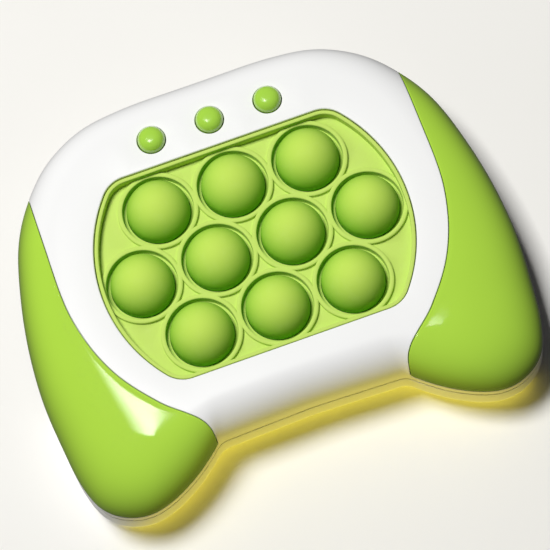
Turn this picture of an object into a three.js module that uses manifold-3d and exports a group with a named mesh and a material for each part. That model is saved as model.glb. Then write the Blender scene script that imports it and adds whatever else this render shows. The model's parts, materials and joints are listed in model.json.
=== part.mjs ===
// Electronic bubble pop game: a game-pad shaped toy with ten press-in bubbles on a soft pad,
// three round buttons above it, two coloured grip covers, a speaker and a battery box behind.
// Millimetres. X runs across the body, Y towards the far edge, Z up out of the flat back.
import * as THREE from "three";
import { mergeVertices } from "three/addons/utils/BufferGeometryUtils.js";
import Module from "manifold-3d";

const wasm = await Module();
wasm.setup();

// Body: borders round the window, heights and walls
const SIDE_BORDER = 29.4;
const GRIP_REACH = 36.15;
const FAR_MARGIN = 12.4;
const PARTING_GAP = 0.3;
const LIP_HEIGHT = 3;
const FACE_RISE = 12;
const SHELL_WALL = 2.2;
const BOTTOM_ROUND = 8;
const COVER_WALL = 2;
const FIT_GAP = 0.3;

// Pad: window in the face, soft sheet and its raised rims
const WINDOW_SIDE_MARGIN = 2;
const WINDOW_END_MARGIN = 1.43;
const WINDOW_CORNER = 10;
const PAD_DEPTH = 3.9;
const PAD_THICKNESS = 2.2;
const PAD_LIP = 1.3;
const PAD_LIP_DROP = 0.6;
const PAD_FLANGE = 2.5;
const RECESS_WIDTH = 1.3;
const RIM_WIDTH = 1.6;
const RIM_HEIGHT = 1;

// Bubbles
const BUBBLE_RADIUS = 10.5;
const BUBBLE_SPACE = 5;
const BUBBLE_HEIGHT = 9.4;
const BUBBLE_WALL = 1.6;
const BUBBLE_SKIRT = 1.6;
const BUBBLE_STEM_RADIUS = 2.5;
const BUBBLE_TRAVEL = 5;
const BUBBLES_PER_ROW = [3, 4, 3];

// Buttons above the pad
const BUTTON_SPACING = 20.3;
const BUTTON_PAD_GAP = 1.75;
const BUTTON_RADIUS = 4.6;
const BUTTON_DOME = 3.1;
const BUTTON_FLANGE = 1.2;
const BUTTON_FLANGE_THICKNESS = 1.2;
const BUTTON_STEM_RADIUS = 2;
const BUTTON_TRAVEL = 1.2;
const BUTTON_NAMES = ["power_button", "mode_button", "sound_button"];

// Electronics
const BOARD_THICKNESS = 1.6;
const BOARD_BOX_GAP = 1.6;
const BOARD_SIDE_MARGIN = 11;
const BOARD_END_MARGIN = 14.48;
const BOARD_TONGUE_MARGIN = 7.7;
const BOARD_TONGUE_EXTRA = 5.2;
const SWITCH_SIZE = 6;
const SWITCH_HEIGHT = 2.5;
const SWITCH_CAP_RADIUS = 1.7;
const SWITCH_CAP_HEIGHT = 1;
const LAMP_SIZE = 2;
const LAMP_HEIGHT = 1;
const CHIP_SIZE = 8;
const CHIP_HEIGHT = 1.5;
const CARRIER_THICKNESS = 2.2;
const CARRIER_FOOT_RADIUS = 2.4;
const CARRIER_FOOT_GAP = 2.78;
const CARRIER_FOOT_ANGLE = 0.5447;
const CARRIER_HOLE_CLEARANCE = 0.7;

// Speaker
const SPEAKER_RADIUS = 14;
const SPEAKER_BOX_GAP = 10.25;
const SPEAKER_FRAME_HEIGHT = 3;
const SPEAKER_RIM = 1.6;
const SPEAKER_MAGNET_RADIUS = 7;
const SPEAKER_MAGNET_HEIGHT = 4;
const SPEAKER_CONE_THICKNESS = 0.8;
const SPEAKER_WALL = 1.2;
const SPEAKER_WALL_HEIGHT = 4;
const GRILLE_HOLE_RADIUS = 1;
const GRILLE_RADIUS = 7;
const GRILLE_HOLES = 6;

// Battery box
const BATTERY_RADIUS = 5.25;
const BATTERY_LENGTH = 44.5;
const BATTERY_NUB_RADIUS = 1.9;
const BATTERY_NUB_LENGTH = 0.8;
const BATTERY_COUNT = 3;
const BATTERY_SPACE = 0.7;
const BATTERY_FROM_PAD = -12;
const CONTACT_ROOM = 2.15;
const CONTACT_THICKNESS = 0.6;
const CONTACT_WIDTH = 8;
const CONTACT_BUMP_RADIUS = 2.2;
const BATTERY_BOX_WALL = 1.5;
const DOOR_THICKNESS = 2;
const DOOR_CORNER = 3;
const DOOR_EAR_RADIUS = 4.8;
const DOOR_EAR_REACH = 4.4;
const DOOR_EAR_THICKNESS = 3;

// Fasteners
const SCREW_RADIUS = 1.2;
const SCREW_HEAD_RADIUS = 3;
const SCREW_HEAD_HEIGHT = 1.5;
const SCREW_RECESS = 4.2;
const POST_RADIUS = 4.6;
const FRONT_POST_RADIUS = 3.4;
const SCREW_BITE = 8.8;
const DOOR_SCREW_HEAD_RADIUS = 2.5;
const DOOR_SCREW_HEAD_HEIGHT = 1.2;
const DOOR_SCREW_LENGTH = 9;
const DOOR_BOSS_RADIUS = 3.4;
const RIB_RADIUS = 2.5;

// Leads inside the body
const LEAD_RADIUS = 0.9;

// How finely round shapes are drawn
const STEPS_BETWEEN_STATIONS = 2;
const BRIDGE_STEPS = 3;
const ROUND_STEPS = 5;
const HOLLOW_ROUND_STEPS = 3;
const BOTTOM_STEPS = 4;
const HOLLOW_BOTTOM_STEPS = 2;
const BUBBLE_SIDES = 16;
const DOME_STEPS = 4;
const HOLE_SIDES = 16;
const WINDOW_SIDE_STEPS = 10;
const CORNER_STEPS = 4;
const SMALL_SIDES = 10;
const LEAD_SIDES = 6;
const LEAD_STEPS = 12;
const OVERRUN = 1;
const MERGE_DISTANCE = 0.0001;

// Stations round the right half of the body, from the middle of the far edge to the notch beside the grip.
// Each is the wall's x and y, then the x and y where the rounding meets the flat face, as shares of the
// half width and half length.
const STATION_SHARES = [
  [0, 0.9988, 0, 0.826],
  [0.332, 0.9946, 0.292, 0.823],
  [0.519, 0.957, 0.45, 0.787],
  [0.691, 0.841, 0.578, 0.698],
  [0.8175, 0.667, 0.669, 0.573],
  [0.893, 0.5, 0.718, 0.441],
  [0.951, 0.25, 0.754, 0.235],
  [0.988, -0.02, 0.76, 0.014],
  [1, -0.295, 0.742, -0.192],
  [0.984, -0.553, 0.706, -0.354],
  [0.96, -0.759, 0.675, -0.472],
  [0.915, -0.896, 0.651, -0.56],
  [0.839, -0.971, 0.626, -0.619],
  [0.742, -1, 0.59, -0.648],
  [0.645, -0.975, 0.547, -0.648],
  [0.533, -0.907, 0.499, -0.634],
  [0.456, -0.8396, 0.438, -0.612],
  [0.387, -0.766, 0.353, -0.592],
];
const BRIDGE_SHARES = [0, -0.7513, 0, -0.5835];

// Seam between the white face and the right grip cover, from past the far edge to past the notch.
const SEAM_SHARES = [
  [0.791, 1.2],
  [0.791, 0.9],
  [0.791, 0.65],
  [0.791, 0.4],
  [0.791, 0.132],
  [0.783, 0.014],
  [0.76, -0.118],
  [0.73, -0.229],
  [0.687, -0.339],
  [0.639, -0.428],
  [0.591, -0.501],
  [0.545, -0.564],
  [0.478, -0.634],
  [0.433, -0.685],
  [0.408, -0.731],
  [0.4, -0.78],
  [0.398, -1.2],
];

// Screws and ribs, as shares of the half width and half length
const FAR_SCREW_SHARES = [0.535, 0.735];
const GRIP_SCREW_SHARES = [0.706, -0.707];

// Heights, stacked from the battery door up to the face
const BATTERY_Z = FIT_GAP + DOOR_THICKNESS + FIT_GAP + BATTERY_RADIUS;
const BATTERY_BOX_TOP_Z = BATTERY_Z + BATTERY_RADIUS + FIT_GAP + BATTERY_BOX_WALL;
const BOARD_UNDER_Z = BATTERY_BOX_TOP_Z + BOARD_BOX_GAP;
const BOARD_TOP_Z = BOARD_UNDER_Z + BOARD_THICKNESS;
const SWITCH_BASE_Z = BOARD_TOP_Z + FIT_GAP;
const SWITCH_TOP_Z = SWITCH_BASE_Z + SWITCH_HEIGHT + SWITCH_CAP_HEIGHT;
const CARRIER_UNDER_Z = SWITCH_BASE_Z + SWITCH_HEIGHT + LAMP_HEIGHT;
const CARRIER_TOP_Z = CARRIER_UNDER_Z + CARRIER_THICKNESS;
const PAD_UNDER_Z = CARRIER_TOP_Z + FIT_GAP;
const PAD_Z = PAD_UNDER_Z + PAD_THICKNESS;
const BUBBLE_TOP_Z = PAD_Z + BUBBLE_HEIGHT;
const FACE_Z = PAD_Z + PAD_DEPTH;
const PAD_LIP_Z = FACE_Z - PAD_LIP_DROP;
const FACE_UNDER_Z = FACE_Z - SHELL_WALL;
const LIP_TOP = FACE_Z - FACE_RISE;
const FRONT_BASE = LIP_TOP - LIP_HEIGHT;
const BACK_HEIGHT = FRONT_BASE - PARTING_GAP;

// The window goes round the bubbles' recesses, and the body round the window and the buttons
const BUBBLE_PITCH = BUBBLE_RADIUS * 2 + BUBBLE_SPACE;
const ROW_SPACING = (BUBBLE_PITCH * Math.sqrt(3)) / 2;
const OUTER_BUBBLE_X = (BUBBLE_PITCH * (Math.max(...BUBBLES_PER_ROW) - 1)) / 2;
const OUTER_BUBBLE_Y = (ROW_SPACING * (BUBBLES_PER_ROW.length - 1)) / 2;
const RIM_INNER_RADIUS = BUBBLE_RADIUS + RECESS_WIDTH;
const WINDOW_RADIUS = OUTER_BUBBLE_X + RIM_INNER_RADIUS + WINDOW_SIDE_MARGIN;
const WINDOW_HALF_HEIGHT = OUTER_BUBBLE_Y + RIM_INNER_RADIUS + WINDOW_END_MARGIN;
const BUTTON_FLANGE_RADIUS = BUTTON_RADIUS + BUTTON_FLANGE;
const BUTTON_FROM_WINDOW = PAD_FLANGE + BUTTON_PAD_GAP + BUTTON_FLANGE_RADIUS;
const FAR_BORDER = BUTTON_FROM_WINDOW + BUTTON_FLANGE_RADIUS + FAR_MARGIN;
const PAD_OFFSET = (GRIP_REACH - FAR_BORDER) / 2;
const HALF_WIDTH = WINDOW_RADIUS + SIDE_BORDER;
const HALF_LENGTH = WINDOW_HALF_HEIGHT + (FAR_BORDER + GRIP_REACH) / 2;
const COVER_SEAT = COVER_WALL + FIT_GAP;
const BUTTON_Y = PAD_OFFSET + WINDOW_HALF_HEIGHT + BUTTON_FROM_WINDOW;

// Board, battery box and speaker, set by the bubbles, the buttons and the cells
const BOARD_HALF_WIDTH = OUTER_BUBBLE_X + BOARD_SIDE_MARGIN;
const BOARD_HALF_LENGTH = OUTER_BUBBLE_Y + BOARD_END_MARGIN;
const BOARD_TONGUE_HALF_WIDTH = (BUTTON_SPACING * (BUTTON_NAMES.length - 1)) / 2 + BOARD_TONGUE_MARGIN;
const BATTERY_SPACING = BATTERY_RADIUS * 2 + BATTERY_SPACE;
const BATTERY_Y = PAD_OFFSET + BATTERY_FROM_PAD;
const BATTERY_ROOM_X = BATTERY_LENGTH / 2 + FIT_GAP + CONTACT_ROOM + CONTACT_THICKNESS + FIT_GAP;
const BATTERY_ROOM_Y = (BATTERY_SPACING * (BATTERY_COUNT - 1)) / 2 + BATTERY_RADIUS + FIT_GAP;
const DOOR_SCREW_Y = BATTERY_Y - BATTERY_ROOM_Y - DOOR_EAR_REACH;
const SPEAKER_WALL_RADIUS = SPEAKER_RADIUS + FIT_GAP + SPEAKER_WALL;
const SPEAKER_Y = BATTERY_Y + BATTERY_ROOM_Y + BATTERY_BOX_WALL + SPEAKER_BOX_GAP + SPEAKER_WALL_RADIUS;

const WHITE_PLASTIC = new THREE.MeshStandardMaterial({ color: 0xf4f3f2, roughness: 0.32, metalness: 0 });
const GREEN_PLASTIC = new THREE.MeshStandardMaterial({ color: 0x9fd332, roughness: 0.25, metalness: 0 });
const PAD_SILICONE = new THREE.MeshStandardMaterial({ color: 0xb9e05e, roughness: 0.55, metalness: 0 });
const BUBBLE_SILICONE = new THREE.MeshStandardMaterial({ color: 0xa0d048, roughness: 0.5, metalness: 0 });
const BOARD_GREEN = new THREE.MeshStandardMaterial({ color: 0x1f6b3a, roughness: 0.5, metalness: 0 });
const BLACK_PLASTIC = new THREE.MeshStandardMaterial({ color: 0x202224, roughness: 0.5, metalness: 0 });
const STEEL = new THREE.MeshStandardMaterial({ color: 0xb8bcc0, roughness: 0.3, metalness: 1 });
const PAPER = new THREE.MeshStandardMaterial({ color: 0x3a3a3c, roughness: 0.9, metalness: 0 });
const LEAD_COVER = new THREE.MeshStandardMaterial({ color: 0xb03030, roughness: 0.6, metalness: 0 });
const BATTERY_WRAP = new THREE.MeshStandardMaterial({ color: 0x3f7f4a, roughness: 0.4, metalness: 0.2 });

// A closed three.js geometry as a solid that can be joined and cut.
function toSolid(geometry) {
  const bare = geometry.index ? geometry.toNonIndexed() : geometry.clone();
  bare.deleteAttribute("normal");
  bare.deleteAttribute("uv");
  const merged = mergeVertices(bare, MERGE_DISTANCE);
  const mesh = new wasm.Mesh({
    numProp: 3,
    vertProperties: merged.attributes.position.array,
    triVerts: new Uint32Array(merged.index.array),
  });
  return new wasm.Manifold(mesh);
}

// A solid as a named mesh of the object.
function named(name, solid, material) {
  const mesh = solid.getMesh();
  const vertices = new Float32Array(mesh.numVert * 3);
  for (let i = 0; i < mesh.numVert; i++) {
    const from = i * mesh.numProp;
    vertices.set(mesh.vertProperties.subarray(from, from + 3), i * 3);
  }
  const geometry = new THREE.BufferGeometry();
  geometry.setAttribute("position", new THREE.BufferAttribute(vertices, 3));
  geometry.setIndex(new THREE.BufferAttribute(mesh.triVerts, 1));
  geometry.computeVertexNormals();
  const result = new THREE.Mesh(geometry, material);
  result.name = name;
  return result;
}

// Joins a list of solids.
function joined(solids) {
  return solids.reduce((whole, piece) => whole.add(piece));
}

// Cuts each of a list of solids out of one.
function cutAll(solid, cutters) {
  return cutters.reduce((left, cutter) => left.subtract(cutter), solid);
}

// The solid between rings of points, each counter-clockwise from above and higher than the one before.
function loft(rings) {
  const count = rings[0].length;
  const positions = rings.flat().flatMap((p) => [p.x, p.y, p.z]);
  const triangles = [];
  for (let k = 0; k + 1 < rings.length; k++) {
    for (let i = 0; i < count; i++) {
      const next = (i + 1) % count;
      const low = k * count;
      const high = low + count;
      triangles.push(low + i, low + next, high + next);
      triangles.push(low + i, high + next, high + i);
    }
  }
  const top = (rings.length - 1) * count;
  for (const [a, b, c] of THREE.ShapeUtils.triangulateShape(rings[0], [])) {
    triangles.push(c, b, a);
  }
  for (const [a, b, c] of THREE.ShapeUtils.triangulateShape(rings[rings.length - 1], [])) {
    triangles.push(top + a, top + b, top + c);
  }
  const geometry = new THREE.BufferGeometry();
  geometry.setAttribute("position", new THREE.Float32BufferAttribute(positions, 3));
  geometry.setIndex(triangles);
  return toSolid(geometry);
}

// A flat line of points at one height.
function ring(line, height) {
  return line.map((p) => new THREE.Vector3(p.x, p.y, height));
}

// An upright solid with a given outline.
function prism(line, low, high) {
  return loft([ring(line, low), ring(line, high)]);
}

function cylinder(radius, low, high, x, y, sides) {
  const geometry = new THREE.CylinderGeometry(radius, radius, high - low, sides);
  geometry.rotateX(Math.PI / 2);
  geometry.translate(x, y, (low + high) / 2);
  return toSolid(geometry);
}

function box(low, high) {
  const size = high.clone().sub(low);
  const middle = high.clone().add(low).divideScalar(2);
  const geometry = new THREE.BoxGeometry(size.x, size.y, size.z);
  geometry.translate(middle.x, middle.y, middle.z);
  return toSolid(geometry);
}

// A block on a board at x, y, from one height to another.
function block(size, low, high, x, y) {
  const half = size / 2;
  return box(new THREE.Vector3(x - half, y - half, low), new THREE.Vector3(x + half, y + half, high));
}

// A turned solid about an upright axis: the profile runs from the axis round to the axis, lowest first.
function turned(profile, sides, x, y) {
  const points = profile.map(([radius, height]) => new THREE.Vector2(radius, height));
  const geometry = new THREE.LatheGeometry(points, sides);
  geometry.rotateX(Math.PI / 2);
  geometry.translate(x, y, 0);
  return toSolid(geometry);
}

// Points along an arc, from one angle to another.
function arc(centreX, centreY, radius, from, to, steps) {
  const points = [];
  for (let i = 0; i <= steps; i++) {
    const angle = from + ((to - from) * i) / steps;
    points.push(new THREE.Vector2(centreX + radius * Math.cos(angle), centreY + radius * Math.sin(angle)));
  }
  return points;
}

// A right half line from its lowest point to its highest, closed by its mirror image.
function withMirror(half) {
  const left = half.map((p) => new THREE.Vector2(-p.x, p.y)).reverse();
  const onAxis = (p) => Math.abs(p.x) < MERGE_DISTANCE;
  return [...half, ...left.filter((p) => !onAxis(p))];
}

// A smooth line through points.
function smooth(points, steps) {
  const curve = new THREE.CatmullRomCurve3(
    points.map((p) => new THREE.Vector3(p.x, p.y, 0)),
    false,
    "centripetal",
  );
  return curve.getPoints(steps * (points.length - 1)).map((p) => new THREE.Vector2(p.x, p.y));
}

// The body's line at the wall (first column 0) or where the face turns flat (first column 2).
function bodyLine(column) {
  const place = (row) => new THREE.Vector2(row[column] * HALF_WIDTH, row[column + 1] * HALF_LENGTH);
  const side = smooth(STATION_SHARES.map(place), STEPS_BETWEEN_STATIONS).reverse();
  const notch = side[0];
  const middle = place(BRIDGE_SHARES);
  const bridge = [];
  for (let i = 0; i < BRIDGE_STEPS; i++) {
    bridge.push(middle.clone().lerp(notch, i / BRIDGE_STEPS));
  }
  return withMirror([...bridge, ...side]);
}

// A closed counter-clockwise line moved inwards by a distance, with its corners kept.
function inward(line, distance) {
  const count = line.length;
  return line.map((p, i) => {
    const before = p.clone().sub(line[(i + count - 1) % count]).normalize();
    const after = line[(i + 1) % count].clone().sub(p).normalize();
    const along = before.clone().add(after).normalize();
    const inwards = new THREE.Vector2(-along.y, along.x);
    const corner = before.dot(along);
    return p.clone().addScaledVector(inwards, distance / corner);
  });
}

const WALL_LINE = bodyLine(0);
const FACE_LINE = bodyLine(2);

// The solid under the front's outer surface, drawn in by a distance, down to a given height.
function underFace(inset, low, steps = ROUND_STEPS) {
  const wall = inward(WALL_LINE, inset);
  const rise = FACE_RISE - inset;
  const rings = [ring(wall, low), ring(wall, LIP_TOP)];
  for (let k = 1; k <= steps; k++) {
    const turn = ((Math.PI / 2) * k) / steps;
    const line = wall.map((p, i) => p.clone().lerp(FACE_LINE[i], 1 - Math.cos(turn)));
    rings.push(ring(line, LIP_TOP + rise * Math.sin(turn)));
  }
  return loft(rings);
}

// The solid inside the back's outer surface, drawn in by a distance, up to a given height.
function overBack(inset, high, steps = BOTTOM_STEPS) {
  const wall = inward(WALL_LINE, inset);
  const round = BOTTOM_ROUND - inset;
  const rings = [];
  for (let k = steps; k >= 1; k--) {
    const turn = ((Math.PI / 2) * k) / steps;
    const line = inward(WALL_LINE, inset + round * (1 - Math.cos(turn)));
    rings.push(ring(line, BOTTOM_ROUND - round * Math.sin(turn)));
  }
  rings.push(ring(wall, BOTTOM_ROUND));
  rings.push(ring(wall, high));
  return loft(rings);
}

// The right seam from the notch to the far edge, moved outwards by a distance.
function seamLine(distance) {
  const points = SEAM_SHARES.map(([x, y]) => new THREE.Vector2(x * HALF_WIDTH, y * HALF_LENGTH));
  const line = smooth(points, STEPS_BETWEEN_STATIONS).reverse();
  return line.map((p, i) => {
    const before = line[Math.max(i - 1, 0)];
    const after = line[Math.min(i + 1, line.length - 1)];
    const along = after.clone().sub(before).normalize();
    return p.clone().add(new THREE.Vector2(along.y * distance, -along.x * distance));
  });
}

// Everything between the two seams, moved outwards by a distance.
function betweenSeams(distance, low) {
  return prism(withMirror(seamLine(distance)), low, FACE_Z + OVERRUN);
}

// Everything outside one seam.
function outsideSeam(side, distance, low) {
  const seam = seamLine(distance);
  const first = seam[0];
  const last = seam[seam.length - 1];
  const beyond = HALF_WIDTH + OVERRUN;
  const line = [new THREE.Vector2(beyond, first.y), new THREE.Vector2(beyond, last.y), ...seam.reverse()];
  const placed = side > 0 ? line : line.map((p) => new THREE.Vector2(-p.x, p.y)).reverse();
  return prism(placed, low, FACE_Z + OVERRUN);
}

// The window's line, grown by a distance: a circle cut off above and below, with rounded corners.
function windowLine(grow) {
  const radius = WINDOW_RADIUS + grow;
  const halfHeight = WINDOW_HALF_HEIGHT + grow;
  const corner = WINDOW_CORNER + grow;
  const cornerY = halfHeight - corner;
  const cornerX = Math.sqrt((radius - corner) ** 2 - cornerY ** 2);
  const turn = Math.atan2(cornerY, cornerX);
  const quarter = Math.PI / 2;
  const half = [
    ...arc(cornerX, PAD_OFFSET - cornerY, corner, -quarter, -turn, CORNER_STEPS),
    ...arc(0, PAD_OFFSET, radius, -turn, turn, WINDOW_SIDE_STEPS).slice(1, -1),
    ...arc(cornerX, PAD_OFFSET + cornerY, corner, turn, quarter, CORNER_STEPS),
  ];
  return withMirror(half);
}

// A rectangle with rounded corners.
function roundedRectangle(halfX, halfY, corner, centreY) {
  const quarter = Math.PI / 2;
  const x = halfX - corner;
  const y = halfY - corner;
  const half = [
    ...arc(x, centreY - y, corner, -quarter, 0, CORNER_STEPS),
    ...arc(x, centreY + y, corner, 0, quarter, CORNER_STEPS),
  ];
  return withMirror(half);
}

// Bubble centres, row by row from the far edge.
function bubbleCentres() {
  const centres = [];
  BUBBLES_PER_ROW.forEach((count, row) => {
    const y = PAD_OFFSET + ROW_SPACING * ((BUBBLES_PER_ROW.length - 1) / 2 - row);
    for (let i = 0; i < count; i++) {
      centres.push(new THREE.Vector2(BUBBLE_PITCH * (i - (count - 1) / 2), y));
    }
  });
  return centres;
}

function buttonCentres() {
  return BUTTON_NAMES.map((name, i) => {
    const fromMiddle = i - (BUTTON_NAMES.length - 1) / 2;
    return new THREE.Vector2(BUTTON_SPACING * fromMiddle, BUTTON_Y);
  });
}

function screwCentres() {
  const centres = [];
  for (const [x, y] of [FAR_SCREW_SHARES, GRIP_SCREW_SHARES]) {
    for (const side of [-1, 1]) {
      centres.push(new THREE.Vector2(side * x * HALF_WIDTH, y * HALF_LENGTH));
    }
  }
  return centres;
}

// The carrier's feet and the ribs below them, past the end bubbles of the first and last rows.
function ribCentres() {
  const holeRadius = BUBBLE_RADIUS + CARRIER_HOLE_CLEARANCE;
  const reach = holeRadius + CARRIER_FOOT_RADIUS + CARRIER_FOOT_GAP;
  const endX = (BUBBLE_PITCH * (BUBBLES_PER_ROW[0] - 1)) / 2;
  const x = endX + reach * Math.cos(CARRIER_FOOT_ANGLE);
  const y = OUTER_BUBBLE_Y + reach * Math.sin(CARRIER_FOOT_ANGLE);
  const centres = [];
  for (const sideX of [-x, x]) {
    for (const sideY of [-y, y]) {
      centres.push(new THREE.Vector2(sideX, PAD_OFFSET + sideY));
    }
  }
  return centres;
}

const BUBBLE_CENTRES = bubbleCentres();
const BUTTON_CENTRES = buttonCentres();
const SCREW_CENTRES = screwCentres();
const RIB_CENTRES = ribCentres();
const SCREW_TOP_Z = FRONT_BASE + SCREW_BITE;

// Front shell: white between the seams, stepped down under the grip covers, open below.
function frontShell() {
  const outer = underFace(0, FRONT_BASE).intersect(betweenSeams(0, FRONT_BASE - OVERRUN));
  const lip = prism(WALL_LINE, FRONT_BASE, LIP_TOP);
  const seat = underFace(COVER_SEAT, FRONT_BASE, HOLLOW_ROUND_STEPS);
  const hollowMiddle = underFace(SHELL_WALL, FRONT_BASE - OVERRUN, HOLLOW_ROUND_STEPS)
    .intersect(betweenSeams(-SHELL_WALL, FRONT_BASE - OVERRUN * 2));
  const hollowSides = underFace(COVER_SEAT + SHELL_WALL, FRONT_BASE - OVERRUN, HOLLOW_ROUND_STEPS);
  const window = prism(windowLine(0), FACE_UNDER_Z - OVERRUN, FACE_Z + OVERRUN);
  const buttonHoles = BUTTON_CENTRES.map((c) =>
    cylinder(BUTTON_RADIUS + FIT_GAP, FACE_UNDER_Z - OVERRUN, FACE_Z + OVERRUN, c.x, c.y, HOLE_SIDES),
  );
  const blank = joined([outer, lip, seat]);
  const posts = SCREW_CENTRES.map((c) =>
    cylinder(FRONT_POST_RADIUS, FRONT_BASE, FACE_Z, c.x, c.y, SMALL_SIDES).intersect(blank),
  );
  const pilots = SCREW_CENTRES.map((c) =>
    cylinder(SCREW_RADIUS + FIT_GAP, FRONT_BASE - OVERRUN, SCREW_TOP_Z + FIT_GAP, c.x, c.y, SMALL_SIDES),
  );
  const casing = cutAll(blank, [hollowMiddle, hollowSides, window, ...buttonHoles]);
  return named("front_shell", cutAll(joined([casing, ...posts]), pilots), WHITE_PLASTIC);
}

// Grip cover: a skin over one side of the front, standing just above the shell's lip.
function gripCover(name, side) {
  const inside = underFace(COVER_WALL, FRONT_BASE - OVERRUN, HOLLOW_ROUND_STEPS);
  const skin = underFace(0, FRONT_BASE).subtract(inside);
  return named(name, skin.intersect(outsideSeam(side, FIT_GAP, LIP_TOP + FIT_GAP)), GREEN_PLASTIC);
}

// Back shell: the tub with its screw posts, ribs, speaker wall and battery box.
function backShell() {
  const floor = SHELL_WALL;
  const hollow = overBack(SHELL_WALL, BACK_HEIGHT + OVERRUN, HOLLOW_BOTTOM_STEPS);
  const tub = overBack(0, BACK_HEIGHT).subtract(hollow);
  const posts = SCREW_CENTRES.map((c) =>
    cylinder(POST_RADIUS, floor / 2, BACK_HEIGHT, c.x, c.y, SMALL_SIDES),
  );
  const ribs = RIB_CENTRES.map((c) =>
    cylinder(RIB_RADIUS, floor / 2, BOARD_UNDER_Z - FIT_GAP, c.x, c.y, SMALL_SIDES),
  );
  const speakerRoom = SPEAKER_RADIUS + FIT_GAP;
  const wallTop = floor + SPEAKER_WALL_HEIGHT;
  const speakerWall = cylinder(SPEAKER_WALL_RADIUS, floor / 2, wallTop, 0, SPEAKER_Y, HOLE_SIDES)
    .subtract(cylinder(speakerRoom, 0, wallTop + OVERRUN, 0, SPEAKER_Y, HOLE_SIDES));
  const boxX = BATTERY_ROOM_X + BATTERY_BOX_WALL;
  const boxY = BATTERY_ROOM_Y + BATTERY_BOX_WALL;
  const batteryBox = box(
    new THREE.Vector3(-boxX, BATTERY_Y - boxY, floor / 2),
    new THREE.Vector3(boxX, BATTERY_Y + boxY, BATTERY_BOX_TOP_Z),
  );
  const bossTop = FIT_GAP + DOOR_EAR_THICKNESS + DOOR_SCREW_LENGTH + BATTERY_BOX_WALL;
  const boss = cylinder(DOOR_BOSS_RADIUS, floor / 2, bossTop, 0, DOOR_SCREW_Y, SMALL_SIDES);
  const whole = joined([tub, ...posts, ...ribs, speakerWall, batteryBox, boss]);

  const room = box(
    new THREE.Vector3(-BATTERY_ROOM_X, BATTERY_Y - BATTERY_ROOM_Y, -OVERRUN),
    new THREE.Vector3(BATTERY_ROOM_X, BATTERY_Y + BATTERY_ROOM_Y, BATTERY_BOX_TOP_Z - BATTERY_BOX_WALL),
  );
  const doorway = prism(doorLine(FIT_GAP), -OVERRUN, FIT_GAP + DOOR_THICKNESS + FIT_GAP);
  const earTop = FIT_GAP + DOOR_EAR_THICKNESS + FIT_GAP;
  const earRoom = cylinder(DOOR_EAR_RADIUS + FIT_GAP, -OVERRUN, earTop, 0, DOOR_SCREW_Y, HOLE_SIDES);
  const doorPilot = cylinder(
    SCREW_RADIUS + FIT_GAP, 0, bossTop - BATTERY_BOX_WALL / 2, 0, DOOR_SCREW_Y, SMALL_SIDES,
  );
  const shafts = SCREW_CENTRES.map((c) =>
    cylinder(SCREW_RADIUS + FIT_GAP, 0, BACK_HEIGHT + OVERRUN, c.x, c.y, SMALL_SIDES),
  );
  const recessTop = SCREW_RECESS + SCREW_HEAD_HEIGHT + FIT_GAP;
  const recesses = SCREW_CENTRES.map((c) =>
    cylinder(SCREW_HEAD_RADIUS + FIT_GAP, -OVERRUN, recessTop, c.x, c.y, SMALL_SIDES),
  );
  const cutters = [room, doorway, earRoom, doorPilot, ...shafts, ...recesses, ...grilleHoles()];
  return named("back_shell", cutAll(whole, cutters), WHITE_PLASTIC);
}

// Sound holes: one in the middle and a ring round it.
function grilleHoles() {
  const holes = [];
  for (let i = 0; i <= GRILLE_HOLES; i++) {
    const reach = i === 0 ? 0 : GRILLE_RADIUS;
    const angle = (2 * Math.PI * i) / GRILLE_HOLES;
    const x = reach * Math.cos(angle);
    const y = SPEAKER_Y + reach * Math.sin(angle);
    holes.push(cylinder(GRILLE_HOLE_RADIUS, -OVERRUN, SHELL_WALL + OVERRUN, x, y, SMALL_SIDES));
  }
  return holes;
}

// The battery door's outline, grown by a distance.
function doorLine(grow) {
  const halfX = BATTERY_ROOM_X + BATTERY_BOX_WALL / 2 - FIT_GAP + grow;
  const halfY = BATTERY_ROOM_Y + BATTERY_BOX_WALL / 2 - FIT_GAP + grow;
  return roundedRectangle(halfX, halfY, DOOR_CORNER, BATTERY_Y);
}

function batteryDoor() {
  const low = FIT_GAP;
  const plate = prism(doorLine(0), low, low + DOOR_THICKNESS);
  const earTop = low + DOOR_EAR_THICKNESS;
  const ear = cylinder(DOOR_EAR_RADIUS, low, earTop, 0, DOOR_SCREW_Y, HOLE_SIDES);
  const holeRadius = SCREW_RADIUS + FIT_GAP;
  const hole = cylinder(holeRadius, low - OVERRUN, earTop + OVERRUN, 0, DOOR_SCREW_Y, SMALL_SIDES);
  const recess = cylinder(
    DOOR_SCREW_HEAD_RADIUS + FIT_GAP,
    low - OVERRUN,
    low + DOOR_SCREW_HEAD_HEIGHT + FIT_GAP * 2,
    0,
    DOOR_SCREW_Y,
    SMALL_SIDES,
  );
  // The ear keeps clear of the box wall above the plate.
  const wallFace = BATTERY_Y - BATTERY_ROOM_Y - BATTERY_BOX_WALL - FIT_GAP;
  const wallRoom = box(
    new THREE.Vector3(-HALF_WIDTH, wallFace, low + DOOR_THICKNESS),
    new THREE.Vector3(HALF_WIDTH, HALF_LENGTH, earTop + OVERRUN),
  );
  const solid = cutAll(joined([plate, ear.subtract(wallRoom)]), [hole, recess]);
  return named("battery_door", solid, WHITE_PLASTIC);
}

// A screw with its head downwards, from the head's underside height.
function screw(name, headRadius, headHeight, low, top, x, y) {
  const profile = [
    [0, low],
    [headRadius, low],
    [headRadius, low + headHeight],
    [SCREW_RADIUS, low + headHeight],
    [SCREW_RADIUS, top],
    [0, top],
  ];
  return named(name, turned(profile, SMALL_SIDES, x, y), STEEL);
}

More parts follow.
